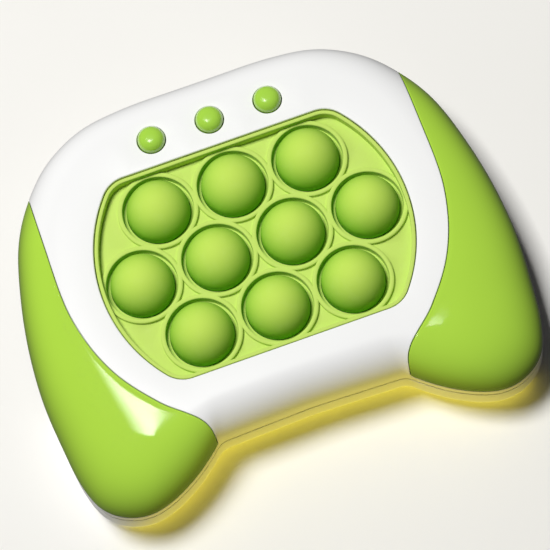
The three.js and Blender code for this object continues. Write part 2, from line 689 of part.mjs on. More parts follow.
function housingScrews() {
  return SCREW_CENTRES.map((c, i) => {
    const name = `housing_screw_${i + 1}`;
    return screw(name, SCREW_HEAD_RADIUS, SCREW_HEAD_HEIGHT, SCREW_RECESS, SCREW_TOP_Z, c.x, c.y);
  });
}

function doorScrew() {
  const low = FIT_GAP * 2;
  const top = FIT_GAP + DOOR_EAR_THICKNESS + DOOR_SCREW_LENGTH - FIT_GAP;
  return screw("door_screw", DOOR_SCREW_HEAD_RADIUS, DOOR_SCREW_HEAD_HEIGHT, low, top, 0, DOOR_SCREW_Y);
}

// Soft pad: a sheet with a flange under the face, a lip in the window and a rim round each bubble.
function bubblePad() {
  const outer = windowLine(PAD_FLANGE);
  const flangeTop = FACE_UNDER_Z - FIT_GAP;
  const body = prism(outer, PAD_UNDER_Z, flangeTop);
  const lip = prism(windowLine(-FIT_GAP), PAD_UNDER_Z, PAD_LIP_Z);
  const inside = prism(windowLine(-FIT_GAP - PAD_LIP), PAD_Z, PAD_LIP_Z + OVERRUN);
  const rimOuter = RIM_INNER_RADIUS + RIM_WIDTH;
  const rims = BUBBLE_CENTRES.map((c) =>
    cylinder(rimOuter, PAD_UNDER_Z, PAD_Z + RIM_HEIGHT, c.x, c.y, HOLE_SIDES).intersect(lip),
  );
  const recesses = BUBBLE_CENTRES.map((c) =>
    cylinder(RIM_INNER_RADIUS, PAD_Z, PAD_LIP_Z + OVERRUN, c.x, c.y, HOLE_SIDES),
  );
  const holes = BUBBLE_CENTRES.map((c) =>
    cylinder(BUBBLE_RADIUS + FIT_GAP, PAD_UNDER_Z - OVERRUN, PAD_Z + OVERRUN, c.x, c.y, HOLE_SIDES),
  );
  const tray = joined([body, lip]).subtract(inside);
  return named("bubble_pad", cutAll(joined([tray, ...rims]), [...recesses, ...holes]), PAD_SILICONE);
}

// Bubble: a hollow dome on a short skirt, with a stem that reaches down to its switch.
function bubble(name, centre) {
  const low = PAD_Z - BUBBLE_SKIRT;
  const inner = BUBBLE_RADIUS - BUBBLE_WALL;
  const innerRise = BUBBLE_HEIGHT - BUBBLE_WALL;
  const stemLow = SWITCH_TOP_Z + BUBBLE_TRAVEL + FIT_GAP;
  const stemTurn = Math.acos(BUBBLE_STEM_RADIUS / inner);
  const hollowSteps = DOME_STEPS / 2;
  const profile = [
    [0, stemLow],
    [BUBBLE_STEM_RADIUS, stemLow],
  ];
  for (let i = hollowSteps; i >= 0; i--) {
    const turn = (stemTurn * i) / hollowSteps;
    profile.push([inner * Math.cos(turn), PAD_Z + innerRise * Math.sin(turn)]);
  }
  profile.push([inner, low]);
  profile.push([BUBBLE_RADIUS, low]);
  for (let i = 0; i < DOME_STEPS; i++) {
    const turn = ((Math.PI / 2) * i) / DOME_STEPS;
    profile.push([BUBBLE_RADIUS * Math.cos(turn), PAD_Z + BUBBLE_HEIGHT * Math.sin(turn)]);
  }
  profile.push([0, BUBBLE_TOP_Z]);
  return named(name, turned(profile, BUBBLE_SIDES, centre.x, centre.y), BUBBLE_SILICONE);
}

// Button: a glossy dome with a flange that holds it under the face, and a stem to its switch.
function button(name, centre) {
  const flangeTop = FACE_UNDER_Z - FIT_GAP;
  const flangeLow = flangeTop - BUTTON_FLANGE_THICKNESS;
  const stemLow = SWITCH_TOP_Z + BUTTON_TRAVEL + FIT_GAP;
  const profile = [
    [0, stemLow],
    [BUTTON_STEM_RADIUS, stemLow],
    [BUTTON_STEM_RADIUS, flangeLow],
    [BUTTON_FLANGE_RADIUS, flangeLow],
    [BUTTON_FLANGE_RADIUS, flangeTop],
    [BUTTON_RADIUS, flangeTop],
  ];
  for (let i = 0; i < DOME_STEPS; i++) {
    const turn = ((Math.PI / 2) * i) / DOME_STEPS;
    profile.push([BUTTON_RADIUS * Math.cos(turn), FACE_Z + BUTTON_DOME * Math.sin(turn)]);
  }
  profile.push([0, FACE_Z + BUTTON_DOME]);
  return named(name, turned(profile, SMALL_SIDES, centre.x, centre.y), GREEN_PLASTIC);
}

// A push switch on the board.
function pushSwitch(name, centre) {
  const bodyTop = SWITCH_BASE_Z + SWITCH_HEIGHT;
  const body = block(SWITCH_SIZE, SWITCH_BASE_Z, bodyTop, centre.x, centre.y);
  const capLow = bodyTop - SWITCH_HEIGHT / 2;
  const cap = cylinder(SWITCH_CAP_RADIUS, capLow, SWITCH_TOP_Z, centre.x, centre.y, SMALL_SIDES);
  return named(name, joined([body, cap]), BLACK_PLASTIC);
}

// Carrier: a stiff plate under the pad, with a hole under each bubble and four feet on the board.
function padCarrier() {
  const plate = prism(windowLine(PAD_FLANGE), CARRIER_UNDER_Z, CARRIER_TOP_Z);
  const holes = BUBBLE_CENTRES.map((c) =>
    cylinder(
      BUBBLE_RADIUS + CARRIER_HOLE_CLEARANCE,
      CARRIER_UNDER_Z - OVERRUN,
      CARRIER_TOP_Z + OVERRUN,
      c.x,
      c.y,
      HOLE_SIDES,
    ),
  );
  const feet = RIB_CENTRES.map((c) =>
    cylinder(CARRIER_FOOT_RADIUS, BOARD_TOP_Z + FIT_GAP, CARRIER_TOP_Z, c.x, c.y, SMALL_SIDES),
  );
  return named("pad_carrier", joined([cutAll(plate, holes), ...feet]), WHITE_PLASTIC);
}

// Main board: one sheet with a tongue under the buttons and a lamp beside each bubble's switch.
function mainBoard() {
  const sheet = box(
    new THREE.Vector3(-BOARD_HALF_WIDTH, PAD_OFFSET - BOARD_HALF_LENGTH, BOARD_UNDER_Z),
    new THREE.Vector3(BOARD_HALF_WIDTH, PAD_OFFSET + BOARD_HALF_LENGTH, BOARD_TOP_Z),
  );
  const tongue = box(
    new THREE.Vector3(-BOARD_TONGUE_HALF_WIDTH, PAD_OFFSET, BOARD_UNDER_Z),
    new THREE.Vector3(BOARD_TONGUE_HALF_WIDTH, BUTTON_Y + BOARD_TONGUE_EXTRA, BOARD_TOP_Z),
  );
  const lampReach = SWITCH_SIZE / 2 + LAMP_SIZE;
  const lamps = BUBBLE_CENTRES.map((c) =>
    block(LAMP_SIZE, BOARD_UNDER_Z, BOARD_TOP_Z + LAMP_HEIGHT, c.x + lampReach, c.y),
  );
  return named("main_board", joined([sheet, tongue, ...lamps]), BOARD_GREEN);
}

function controllerChip() {
  const low = BOARD_TOP_Z + FIT_GAP;
  return named("controller_chip", block(CHIP_SIZE, low, low + CHIP_HEIGHT, 0, PAD_OFFSET), BLACK_PLASTIC);
}

// Speaker: a rimmed frame facing the sound holes, its paper cone and its magnet.
function speaker() {
  const low = SHELL_WALL + FIT_GAP;
  const top = low + SPEAKER_FRAME_HEIGHT;
  const inner = SPEAKER_RADIUS - SPEAKER_RIM;
  const plateLow = top - SPEAKER_RIM / 2;
  const frame = cylinder(SPEAKER_RADIUS, low, top, 0, SPEAKER_Y, HOLE_SIDES)
    .subtract(cylinder(inner, low - OVERRUN, plateLow, 0, SPEAKER_Y, HOLE_SIDES));
  const coneLow = low + SPEAKER_CONE_THICKNESS / 2;
  const cone = turned(
    [
      [0, plateLow - FIT_GAP - SPEAKER_CONE_THICKNESS],
      [inner / 2, plateLow - FIT_GAP - SPEAKER_CONE_THICKNESS],
      [inner - FIT_GAP, coneLow],
      [inner - FIT_GAP, coneLow + SPEAKER_CONE_THICKNESS],
      [inner / 2, plateLow - FIT_GAP],
      [0, plateLow - FIT_GAP],
    ],
    HOLE_SIDES,
    0,
    SPEAKER_Y,
  );
  const magnetLow = top + FIT_GAP;
  const magnetTop = magnetLow + SPEAKER_MAGNET_HEIGHT;
  const magnet = cylinder(SPEAKER_MAGNET_RADIUS, magnetLow, magnetTop, 0, SPEAKER_Y, HOLE_SIDES);
  return [
    named("speaker_frame", frame, BLACK_PLASTIC),
    named("speaker_cone", cone, PAPER),
    named("speaker_magnet", magnet, STEEL),
  ];
}

// A pair of insulated wires as one round lead through points.
function lead(name, points) {
  const path = new THREE.CatmullRomCurve3(points, false, "centripetal");
  const section = new THREE.Shape();
  section.absarc(0, 0, LEAD_RADIUS, 0, 2 * Math.PI, false);
  const options = { steps: LEAD_STEPS, extrudePath: path, curveSegments: LEAD_SIDES, bevelEnabled: false };
  return named(name, toSolid(new THREE.ExtrudeGeometry(section, options)), LEAD_COVER);
}

// The speaker's lead, from its frame up to the board.
function speakerLead() {
  const low = SHELL_WALL + FIT_GAP + SPEAKER_FRAME_HEIGHT + FIT_GAP;
  const high = BOARD_UNDER_Z - FIT_GAP;
  const near = SPEAKER_RADIUS - SPEAKER_RIM - LEAD_RADIUS;
  const far = SPEAKER_RADIUS + SPEAKER_WALL + LEAD_RADIUS;
  return lead("speaker_lead", [
    new THREE.Vector3(-near, SPEAKER_Y, low),
    new THREE.Vector3(-near, SPEAKER_Y, low + LEAD_RADIUS * 2),
    new THREE.Vector3(-far, SPEAKER_Y, high - LEAD_RADIUS * 2),
    new THREE.Vector3(-far, SPEAKER_Y, high),
  ]);
}

// The battery box's lead, from its end wall up to the board.
function batteryLead() {
  const high = BOARD_UNDER_Z - FIT_GAP;
  const near = BATTERY_ROOM_X + BATTERY_BOX_WALL + FIT_GAP;
  const far = near + LEAD_RADIUS * 5;
  return lead("battery_lead", [
    new THREE.Vector3(near, BATTERY_Y, BATTERY_Z),
    new THREE.Vector3(near + LEAD_RADIUS * 2, BATTERY_Y, BATTERY_Z),
    new THREE.Vector3(far, BATTERY_Y, high - LEAD_RADIUS * 2),
    new THREE.Vector3(far, BATTERY_Y, high),
  ]);
}

function batteryY(index) {
  return BATTERY_Y + BATTERY_SPACING * (index - (BATTERY_COUNT - 1) / 2);
}

// A round cell lying along X, its nub towards the given side.
function battery(index) {
  const end = BATTERY_LENGTH / 2;
  const shoulder = end - BATTERY_NUB_LENGTH;
  const profile = [
    [0, -end],
    [BATTERY_RADIUS, -end],
    [BATTERY_RADIUS, shoulder],
    [BATTERY_NUB_RADIUS, shoulder],
    [BATTERY_NUB_RADIUS, end],
    [0, end],
  ];
  const mesh = named(`battery_${index + 1}`, turned(profile, SMALL_SIDES, 0, 0), BATTERY_WRAP);
  const side = index % 2 === 0 ? 1 : -1;
  mesh.rotation.y = (side * Math.PI) / 2;
  mesh.position.set(0, batteryY(index), BATTERY_Z);
  return mesh;
}

// A contact plate at one end of the box, touching the cells from first to last.
function contact(name, side, first, last) {
  const end = BATTERY_LENGTH / 2 + FIT_GAP;
  const plateNear = end + CONTACT_ROOM;
  const plateFar = plateNear + CONTACT_THICKNESS;
  const xs = [side * plateNear, side * plateFar].sort((a, b) => a - b);
  const halfWidth = CONTACT_WIDTH / 2;
  const plate = box(
    new THREE.Vector3(xs[0], batteryY(first) - halfWidth, BATTERY_Z - halfWidth),
    new THREE.Vector3(xs[1], batteryY(last) + halfWidth, BATTERY_Z + halfWidth),
  );
  const bumps = [];
  for (let i = first; i <= last; i++) {
    const length = plateFar - end;
    const radius = CONTACT_BUMP_RADIUS;
    const geometry = new THREE.CylinderGeometry(radius, radius, length, SMALL_SIDES);
    geometry.rotateZ(Math.PI / 2);
    geometry.translate(side * (end + length / 2), batteryY(i), BATTERY_Z);
    bumps.push(toSolid(geometry));
  }
  return named(name, joined([plate, ...bumps]), STEEL);
}

const game = new THREE.Group();
game.add(frontShell());
game.add(backShell());
game.add(gripCover("left_grip_cover", -1));
game.add(gripCover("right_grip_cover", 1));
game.add(bubblePad());
BUBBLE_CENTRES.forEach((c, i) => game.add(bubble(`bubble_${i + 1}`, c)));
BUTTON_CENTRES.forEach((c, i) => game.add(button(BUTTON_NAMES[i], c)));
game.add(padCarrier());
game.add(mainBoard());
BUBBLE_CENTRES.forEach((c, i) => game.add(pushSwitch(`bubble_switch_${i + 1}`, c)));
BUTTON_CENTRES.forEach((c, i) => game.add(pushSwitch(BUTTON_NAMES[i].replace("button", "switch"), c)));
game.add(controllerChip());
game.add(...speaker());
game.add(speakerLead());
game.add(batteryLead());
for (let i = 0; i < BATTERY_COUNT; i++) {
  game.add(battery(i));
}
game.add(contact("contact_right_pair", 1, 0, 1));
game.add(contact("contact_right_single", 1, 2, 2));
game.add(contact("contact_left_single", -1, 0, 0));
game.add(contact("contact_left_pair", -1, 1, 2));
game.add(batteryDoor());
game.add(doorScrew());
game.add(...housingScrews());

export default game;
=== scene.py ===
"""Looks of an electronic bubble pop game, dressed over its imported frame.

Lengths are millimetres, apart from those of properties, nodes, lamps and the camera, which are metres.
Meshes are written in metres. X runs across the body, Y towards its far edge, Z up.
"""
import json
import math

import bmesh
import bpy
import numpy as np
from mathutils import Matrix, Vector


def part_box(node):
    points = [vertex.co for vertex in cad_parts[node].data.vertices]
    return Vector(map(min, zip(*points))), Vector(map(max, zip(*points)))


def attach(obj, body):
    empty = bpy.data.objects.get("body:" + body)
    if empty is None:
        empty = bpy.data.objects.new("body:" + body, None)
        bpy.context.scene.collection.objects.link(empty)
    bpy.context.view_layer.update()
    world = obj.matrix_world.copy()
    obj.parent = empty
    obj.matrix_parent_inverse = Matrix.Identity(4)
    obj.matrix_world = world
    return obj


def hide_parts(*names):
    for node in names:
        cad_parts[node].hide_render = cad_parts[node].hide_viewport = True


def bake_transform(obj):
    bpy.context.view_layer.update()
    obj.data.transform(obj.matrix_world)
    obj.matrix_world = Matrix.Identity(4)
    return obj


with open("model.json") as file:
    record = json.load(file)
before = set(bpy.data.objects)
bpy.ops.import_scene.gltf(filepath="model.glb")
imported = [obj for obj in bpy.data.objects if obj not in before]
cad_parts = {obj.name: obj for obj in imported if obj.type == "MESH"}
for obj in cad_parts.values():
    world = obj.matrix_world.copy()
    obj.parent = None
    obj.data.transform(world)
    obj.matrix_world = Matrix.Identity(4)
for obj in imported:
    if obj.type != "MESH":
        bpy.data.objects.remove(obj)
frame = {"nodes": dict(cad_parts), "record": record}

bl_info = {
    "name": "Bubble pop game",
    "version": (1, 0, 0),
    "blender": (4, 5, 0),
    "location": "View3D > Sidebar > Pop Game",
    "description": "Builds the shells, pad, bubbles, buttons and finishes of a hand-held bubble pop game",
    "category": "Object",
}

MM = 0.001


def span(node):
    """A node's lowest and highest corner in millimetres."""
    low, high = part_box(node)
    return np.array(low) / MM, np.array(high) / MM


def middle(node):
    """The middle of a node's box in millimetres."""
    low, high = span(node)
    return (low + high) / 2


# The body, its parting groove and its walls
BACK_LOW, BACK_HIGH = span("back_shell")
FRONT_LOW, FRONT_HIGH = span("front_shell")
HALF_WIDTH = BACK_HIGH[0]
HALF_LENGTH = -BACK_LOW[1]
FIT_GAP = 0.3
FRONT_BASE = FRONT_LOW[2]
BACK_TOP = FRONT_BASE - FIT_GAP
LIP_HEIGHT = 3.0
LIP_TOP = FRONT_BASE + LIP_HEIGHT
FACE = FRONT_HIGH[2]
RISE = FACE - LIP_TOP
SHELL_WALL = 2.2
COVER_WALL = 2.0
SEAT_DEPTH = COVER_WALL + FIT_GAP
BOTTOM_ROUND = 8.0
GROOVE_DEPTH = 0.6
GROOVE_HEIGHT = 0.4
GROOVE_ROUND = 0.12
FACE_UNDER = FACE - SHELL_WALL
FLANGE_TOP = FACE_UNDER - FIT_GAP

# Pad and its window, whose straight edges lie 0.95 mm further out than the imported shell's, as photographed
PAD_LOW, PAD_HIGH = span("bubble_pad")
PAD_Y = middle("bubble_pad")[1]
PAD_DEPTH = 3.9
PAD_Z = FACE - PAD_DEPTH
PAD_UNDER = PAD_LOW[2]
PAD_LIP_Z = PAD_HIGH[2]
PAD_LIP = 1.3
PAD_FLANGE = 1.55
WINDOW_RADIUS = 52.8
WINDOW_HALF_HEIGHT = 36.7
WINDOW_CORNER = 10.0
WINDOW_CORNER_Y = WINDOW_HALF_HEIGHT - WINDOW_CORNER
WINDOW_CORNER_X = math.sqrt((WINDOW_RADIUS - WINDOW_CORNER) ** 2 - WINDOW_CORNER_Y**2)
WINDOW_TURN = math.atan2(WINDOW_CORNER_Y, WINDOW_CORNER_X)
LIP_INSIDE = -FIT_GAP - PAD_LIP

# Bubbles and buttons
BUBBLE_NAMES = [f"bubble_{i}" for i in range(1, 11)]
BUBBLE_CENTRES = np.array([middle(name)[:2] for name in BUBBLE_NAMES])
BUBBLE_PITCH = float(np.linalg.norm(BUBBLE_CENTRES[1] - BUBBLE_CENTRES[0]))
BUBBLE_TOP = span("bubble_1")[1][2]
BUBBLE_RADIUS = 10.5
BUBBLE_GAP = 0.12
BUBBLE_TRAVEL = 5.0
STEM_LOW = span("bubble_switch_1")[1][2] + BUBBLE_TRAVEL + FIT_GAP
BUTTON_NAMES = ["power_button", "mode_button", "sound_button"]
BUTTON_CENTRES = np.array([middle(name)[:2] for name in BUTTON_NAMES])
BUTTON_LOW, BUTTON_HIGH = span("mode_button")
BUTTON_RADIUS = 4.6
BUTTON_SIDES = 72

# Screws, and the posts and recesses that take them
SCREW_NAMES = [f"housing_screw_{i}" for i in range(1, 5)]
SCREW_CENTRES = [middle(name)[:2] for name in SCREW_NAMES]
DOOR_SCREW = np.array([0, middle("door_screw")[1]])
SHANK_HOLE = 1.5
POST_RADIUS = 3.4
PILOT_TOP = 24.6
NEAR_POST_TOP = 26.5
POST_OVERLAP = 0.5
HEAD_RECESS_RADIUS = 3.3
HEAD_RECESS_DEPTH = 6.0
COLUMN_RADIUS = 4.6
COLUMN_EDGE = 0.3
COLUMN_SIDES = 48
POST_SIDES = 32

# Battery room and its door
DOOR_LOW, DOOR_HIGH = span("battery_door")
DOOR_THICKNESS = 2.0
DOOR_HALF = np.array([26.05, 17.2])
DOOR_CORNER = 3.0
DOOR_CENTRE_Y = DOOR_HIGH[1] - DOOR_HALF[1]
DOOR_LEDGE = DOOR_THICKNESS + 2 * FIT_GAP
EAR_TOP = DOOR_HIGH[2]
EAR_RADIUS = 4.8
EAR_POINTS = 29
ROOM_HALF = np.array([25.6, 16.75])
ROOM_CORNER = 0.8
ROOM_WALL = 1.5
ROOM_TOP = 13.4

# Speaker seat and sound holes
SPEAKER = middle("speaker_cone")[:2]
SPEAKER_SEAT_RADII = (14.3, 15.5)
SPEAKER_SEAT_LOW, SPEAKER_SEAT_TOP = 2.1, 6.2
SPEAKER_SEAT_SIDES = 96
SOUND_HOLES = 7
SOUND_HOLE_SIDES = 28
SOUND_HOLE_RADIUS = 1.0
SOUND_HOLE_EDGE = 0.3
SOUND_RING_RADIUS = 7.0

# The body's stations from the middle of the far edge round the right side to the notch. Each has the wall's
# x and y, then x and y where the rounding meets the flat face, as shares of the half width and half length.
STATION_SHARES = [
    (0, 0.9988, 0, 0.826), (0.332, 0.9946, 0.292, 0.823), (0.519, 0.957, 0.45, 0.787),
    (0.691, 0.841, 0.578, 0.698), (0.8175, 0.667, 0.669, 0.573), (0.893, 0.5, 0.718, 0.441),
    (0.951, 0.25, 0.754, 0.235), (0.988, -0.02, 0.76, 0.014), (1, -0.295, 0.742, -0.192),
    (0.984, -0.553, 0.706, -0.354), (0.96, -0.759, 0.675, -0.472), (0.915, -0.896, 0.651, -0.56),
    (0.839, -0.971, 0.626, -0.619), (0.742, -1, 0.59, -0.648), (0.645, -0.975, 0.547, -0.648),
    (0.533, -0.907, 0.499, -0.634), (0.456, -0.8396, 0.438, -0.612), (0.387, -0.766, 0.353, -0.592),
]

# The same four shares at the middle of the near edge, and the seam's line on the right, from far to near
BRIDGE_SHARES = (0, -0.7513, 0, -0.5835)
SEAM_SHARES = [
    (0.791, 1.2), (0.791, 0.9), (0.791, 0.65), (0.791, 0.4), (0.791, 0.132), (0.783, 0.014),
    (0.76, -0.118), (0.73, -0.229), (0.687, -0.339), (0.639, -0.428), (0.591, -0.501),
    (0.545, -0.564), (0.478, -0.634), (0.433, -0.685), (0.408, -0.731), (0.4, -0.78), (0.398, -1.2),
]


class GameSizes(bpy.types.PropertyGroup):
    """Sizes that the looks may vary without leaving the frame."""

    edge_round: bpy.props.FloatProperty(
        name="Edge rounding", description="Softness of moulded edges", default=0.35 * MM,
        min=0.1 * MM, max=0.6 * MM, subtype="DISTANCE", unit="LENGTH")
    seam_gap: bpy.props.FloatProperty(
        name="Seam gap", description="Width of the groove between the face and a grip cover",
        default=0.22 * MM, min=0.1 * MM, max=0.3 * MM, subtype="DISTANCE", unit="LENGTH")
    tip_round: bpy.props.FloatProperty(
        name="Cover tip rounding", description="Rounding of a grip cover's corner at the notch",
        default=1.2 * MM, min=0.2 * MM, max=4 * MM, subtype="DISTANCE", unit="LENGTH")
    rim_width: bpy.props.FloatProperty(
        name="Rim width", description="Width of the raised ring round a bubble", default=1.6 * MM,
        min=0.8 * MM, max=2 * MM, subtype="DISTANCE", unit="LENGTH")
    rim_height: bpy.props.FloatProperty(
        name="Rim height", description="Height of the raised ring round a bubble", default=1.2 * MM,
        min=0.3 * MM, max=1.5 * MM, subtype="DISTANCE", unit="LENGTH")
    recess_radius: bpy.props.FloatProperty(
        name="Recess radius", description="Radius of the recess that a bubble stands in",
        default=11.8 * MM, min=11 * MM, max=12.4 * MM, subtype="DISTANCE", unit="LENGTH")
    recess_depth: bpy.props.FloatProperty(
        name="Recess depth", description="Depth of the recess below the pad's surface",
        default=1.6 * MM, min=0.0, max=1.8 * MM, subtype="DISTANCE", unit="LENGTH")
    bubble_wall: bpy.props.FloatProperty(
        name="Bubble wall", description="Thickness of a bubble's dome", default=1.6 * MM,
        min=0.8 * MM, max=2.5 * MM, subtype="DISTANCE", unit="LENGTH")
    bubble_sides: bpy.props.IntProperty(
        name="Bubble sides", description="Faces round a bubble", default=96, min=24, max=160)


class GameColours(bpy.types.PropertyGroup):
    """Colours of the moulded pieces and the floor."""

    shell: bpy.props.FloatVectorProperty(
        name="Shell", description="White shells", default=(0.88, 0.88, 0.875), size=3, subtype="COLOR",
        min=0, max=1)
    grip: bpy.props.FloatVectorProperty(
        name="Grip covers", description="Glossy green covers", default=(0.41, 0.67, 0.06), size=3,
        subtype="COLOR", min=0, max=1)
    pad: bpy.props.FloatVectorProperty(
        name="Pad", description="Soft green pad", default=(0.53, 0.705, 0.145), size=3, subtype="COLOR",
        min=0, max=1)
    bubble: bpy.props.FloatVectorProperty(
        name="Bubbles", description="Soft green bubbles", default=(0.53, 0.74, 0.112), size=3,
        subtype="COLOR", min=0, max=1)
    button: bpy.props.FloatVectorProperty(
        name="Buttons", description="Glossy green buttons", default=(0.38, 0.67, 0.06), size=3,
        subtype="COLOR", min=0, max=1)
    floor: bpy.props.FloatVectorProperty(
        name="Floor", description="Pale floor", default=(0.88, 0.868, 0.83), size=3, subtype="COLOR",
        min=0, max=1)


def sizes():
    """The scene's GameSizes, in metres."""
    return bpy.context.scene.pop_game_sizes


def colours():
    """The scene's GameColours."""
    return bpy.context.scene.pop_game_colours


# Lines and outlines


def catmull(points, per_span):
    """A centripetal Catmull-Rom line through points, with per_span steps between two of them."""
    points = np.asarray(points, float)
    ends = np.vstack([2 * points[0] - points[1], points, 2 * points[-1] - points[-2]])
    steps = np.linspace(0, 1, per_span, endpoint=False)[:, None]
    pieces = []
    for p0, p1, p2, p3 in zip(ends, ends[1:], ends[2:], ends[3:]):
        d0, d1, d2 = (np.linalg.norm(b - a) ** 0.5 for a, b in ((p0, p1), (p1, p2), (p2, p3)))
        leave = ((p1 - p0) / d0 - (p2 - p0) / (d0 + d1) + (p2 - p1) / d1) * d1
        arrive = ((p2 - p1) / d1 - (p3 - p1) / (d1 + d2) + (p3 - p2) / d2) * d1
        t, t2, t3 = steps, steps**2, steps**3
        pieces.append((2 * t3 - 3 * t2 + 1) * p1 + (t3 - 2 * t2 + t) * leave
                      + (3 * t2 - 2 * t3) * p2 + (t3 - t2) * arrive)
    return np.vstack([*pieces, points[-1:]])


def lengths(line):
    """Distance along a line at each of its points."""
    return np.concatenate([[0], np.cumsum(np.linalg.norm(np.diff(line, axis=0), axis=1))])


def soften(line, reach):
    """A closed, evenly spaced line averaged over reach points each way."""
    offsets = np.arange(-3 * reach, 3 * reach + 1)
    weights = np.exp(-((offsets / reach) ** 2) / 2)
    weights /= weights.sum()
    return sum(w * np.roll(line, -o, axis=0) for w, o in zip(weights, offsets))


class Body:
    """The body's outline: wall and face lines round it, from the middle of the near edge by the right."""

    count = 2400
    steps_per_station = 24
    bridge_steps = 60
    soft_points = 7

    def __init__(self):
        wall, face = self.right_half(0), self.right_half(2)
        mirror = np.array([-1, 1])
        wall = np.vstack([wall, (wall[1:-1] * mirror)[::-1]])
        face = np.vstack([face, (face[1:-1] * mirror)[::-1]])
        closed = np.vstack([wall, wall[:1]])
        along = lengths(closed)
        self.perimeter = along[-1]
        even = np.linspace(0, along[-1], self.count, endpoint=False)
        place = np.interp(even, along, np.arange(len(closed)))
        self.wall = soften(self.at(wall, place), self.soft_points)
        self.face = soften(self.at(face, place), self.soft_points)
        ahead = np.roll(self.wall, -2, axis=0) - np.roll(self.wall, 2, axis=0)
        ahead /= np.linalg.norm(ahead, axis=1)[:, None]
        self.inwards = soften(np.stack([-ahead[:, 1], ahead[:, 0]], axis=1), 2)

    def right_half(self, column):
        """The line of one pair of columns, from the middle of the near edge to that of the far edge."""
        def place(row):
            return np.array([row[column] * HALF_WIDTH, row[column + 1] * HALF_LENGTH])

        side = catmull([place(row) for row in STATION_SHARES], self.steps_per_station)[::-1]
        near = place(BRIDGE_SHARES)
        bridge = near + (side[0] - near) * np.linspace(0, 1, self.bridge_steps, endpoint=False)[:, None]
        return np.vstack([bridge, side])

    @staticmethod
    def at(line, place):
        """Points on a closed line at places counted in its points."""
        low = np.floor(place).astype(int)
        part = (place - low)[:, None]
        return line[low % len(line)] * (1 - part) + line[(low + 1) % len(line)] * part

    def lookup(self, line, shares):
        """Values of one of the outline's lines at shares of the way round it."""
        return self.at(line, np.asarray(shares) * self.count)

    def skin(self, share, r, inset=0.0):
        """Points under the front's surface on one rib, with r from 0 at the wall to 1 at the face and on."""
        wall = self.lookup(self.wall, [share])[0] + self.lookup(self.inwards, [share])[0] * inset
        face = self.lookup(self.face, [share])[0]
        r = np.asarray(r, float)[:, None]
        plan = wall + (face - wall) * r
        height = LIP_TOP + (RISE - inset) * np.sqrt(1 - (1 - np.minimum(r, 1)) ** 2)
        return np.hstack([plan, height])


BODY = Body()


def seam_x(y, outwards=0.0):
    """Where the seam lies at y, moved outwards."""
    line = catmull([(x * HALF_WIDTH, v * HALF_LENGTH) for x, v in SEAM_SHARES], 16)[::-1]
    along = np.gradient(line, axis=0)
    along /= np.linalg.norm(along, axis=1)[:, None]
    moved = line + np.stack([along[:, 1], -along[:, 0]], axis=1) * outwards
    return np.interp(y, moved[:, 1], moved[:, 0])


class Rib:
    """One rib of the front: the path over its surface from the wall up and on across the flat face."""

    rising_points = 60
    rising = 1 - np.cos(np.linspace(0, math.pi / 2, rising_points))
    table = np.concatenate([rising, np.linspace(1, 5, 81)[1:]])

    def __init__(self, share, inset=0.0):
        self.points = BODY.skin(share, self.table, inset)
        self.along = lengths(self.points)

    def at(self, distance):
        """The point at a distance along the path."""
        return np.array([np.interp(distance, self.along, self.points[:, k]) for k in range(3)])

    def many(self, distances):
        """The points at several distances."""
        return np.stack([np.interp(distances, self.along, self.points[:, k]) for k in range(3)], axis=1)

    def r_at(self, r):
        """Distance along the path where r has a value."""
        return float(np.interp(r, self.table, self.along))

    def z_at(self, height):
        """Distance along the path at which it reaches a height."""
        count = self.rising_points
        return float(np.interp(height, self.points[:count, 2], self.along[:count]))

    def seam(self, outwards=0.0):
        """Distance along the path to the seam, or 0 where the whole rib lies between the seams."""
        side = np.abs(self.points[:, 0]) - seam_x(self.points[:, 1], outwards)
        inside = np.flatnonzero(side < 0)
        if not len(inside) or inside[0] == 0:
            return 0.0
        k = inside[0]
        part = side[k - 1] / (side[k - 1] - side[k])
        return float(self.along[k - 1] + part * (self.along[k] - self.along[k - 1]))


def seam_ends():
    """Shares of the outline at which the right seam crosses the wall: at the notch and on the far side."""
    shares = np.linspace(0, 0.5, 4001)
    wall = BODY.lookup(BODY.wall, shares)
    outside = wall[:, 0] > seam_x(wall[:, 1])
    found = np.flatnonzero(outside)
    return shares[found[0]], shares[found[-1]]


NOTCH, FAR_END = seam_ends()


RIB_SPACING = 1.15
BACK_RIB_SPACING = 1.3
GATHERED_RIBS = 12
FIRST_GATHERED_STEP = 0.035
LEAST_RIB_STEP = 0.02


def rib_shares(start, end, spacing, close=()):
    """Shares from start to end at about a spacing, gathered towards the places in close."""
    count = max(2, int(round((end - start) * BODY.perimeter / spacing)))
    shares = list(np.linspace(start, end, count + 1))
    for place in close:
        for k in range(1, GATHERED_RIBS + 1):
            near = FIRST_GATHERED_STEP * k**2 / BODY.perimeter
            shares += [place - near, place + near]
    kept = sorted(s for s in shares if start <= s <= end)
    least = LEAST_RIB_STEP / BODY.perimeter
    result = kept[:1]
    for s in kept[1:]:
        if s - result[-1] > least:
            result.append(s)
    return result


# Meshes


def bow(start, corner, end):
    """Points of a curve from start to end that rounds the corner between them."""
    t = np.linspace(0, 1, 4)[:, None]
    return list((1 - t) ** 2 * start + 2 * t * (1 - t) * corner + t**2 * end)


def bend(corner, along, down, reach):
    """Points of a rounded corner, from reach along one side to reach down the other."""
    return bow(corner + along * reach, corner, corner + down * reach)


def rounding(soft, steps=3):
    """Steps round an edge: pairs whose first value falls from soft to 0 while the second rises to soft."""
    return [(soft * (1 - t) ** 2, soft * t**2) for t in np.linspace(0, 1, steps + 1)]


# How near two points of a written mesh, or of a grown one, are merged
MERGE, GROWN_MERGE = 0.002, 0.004


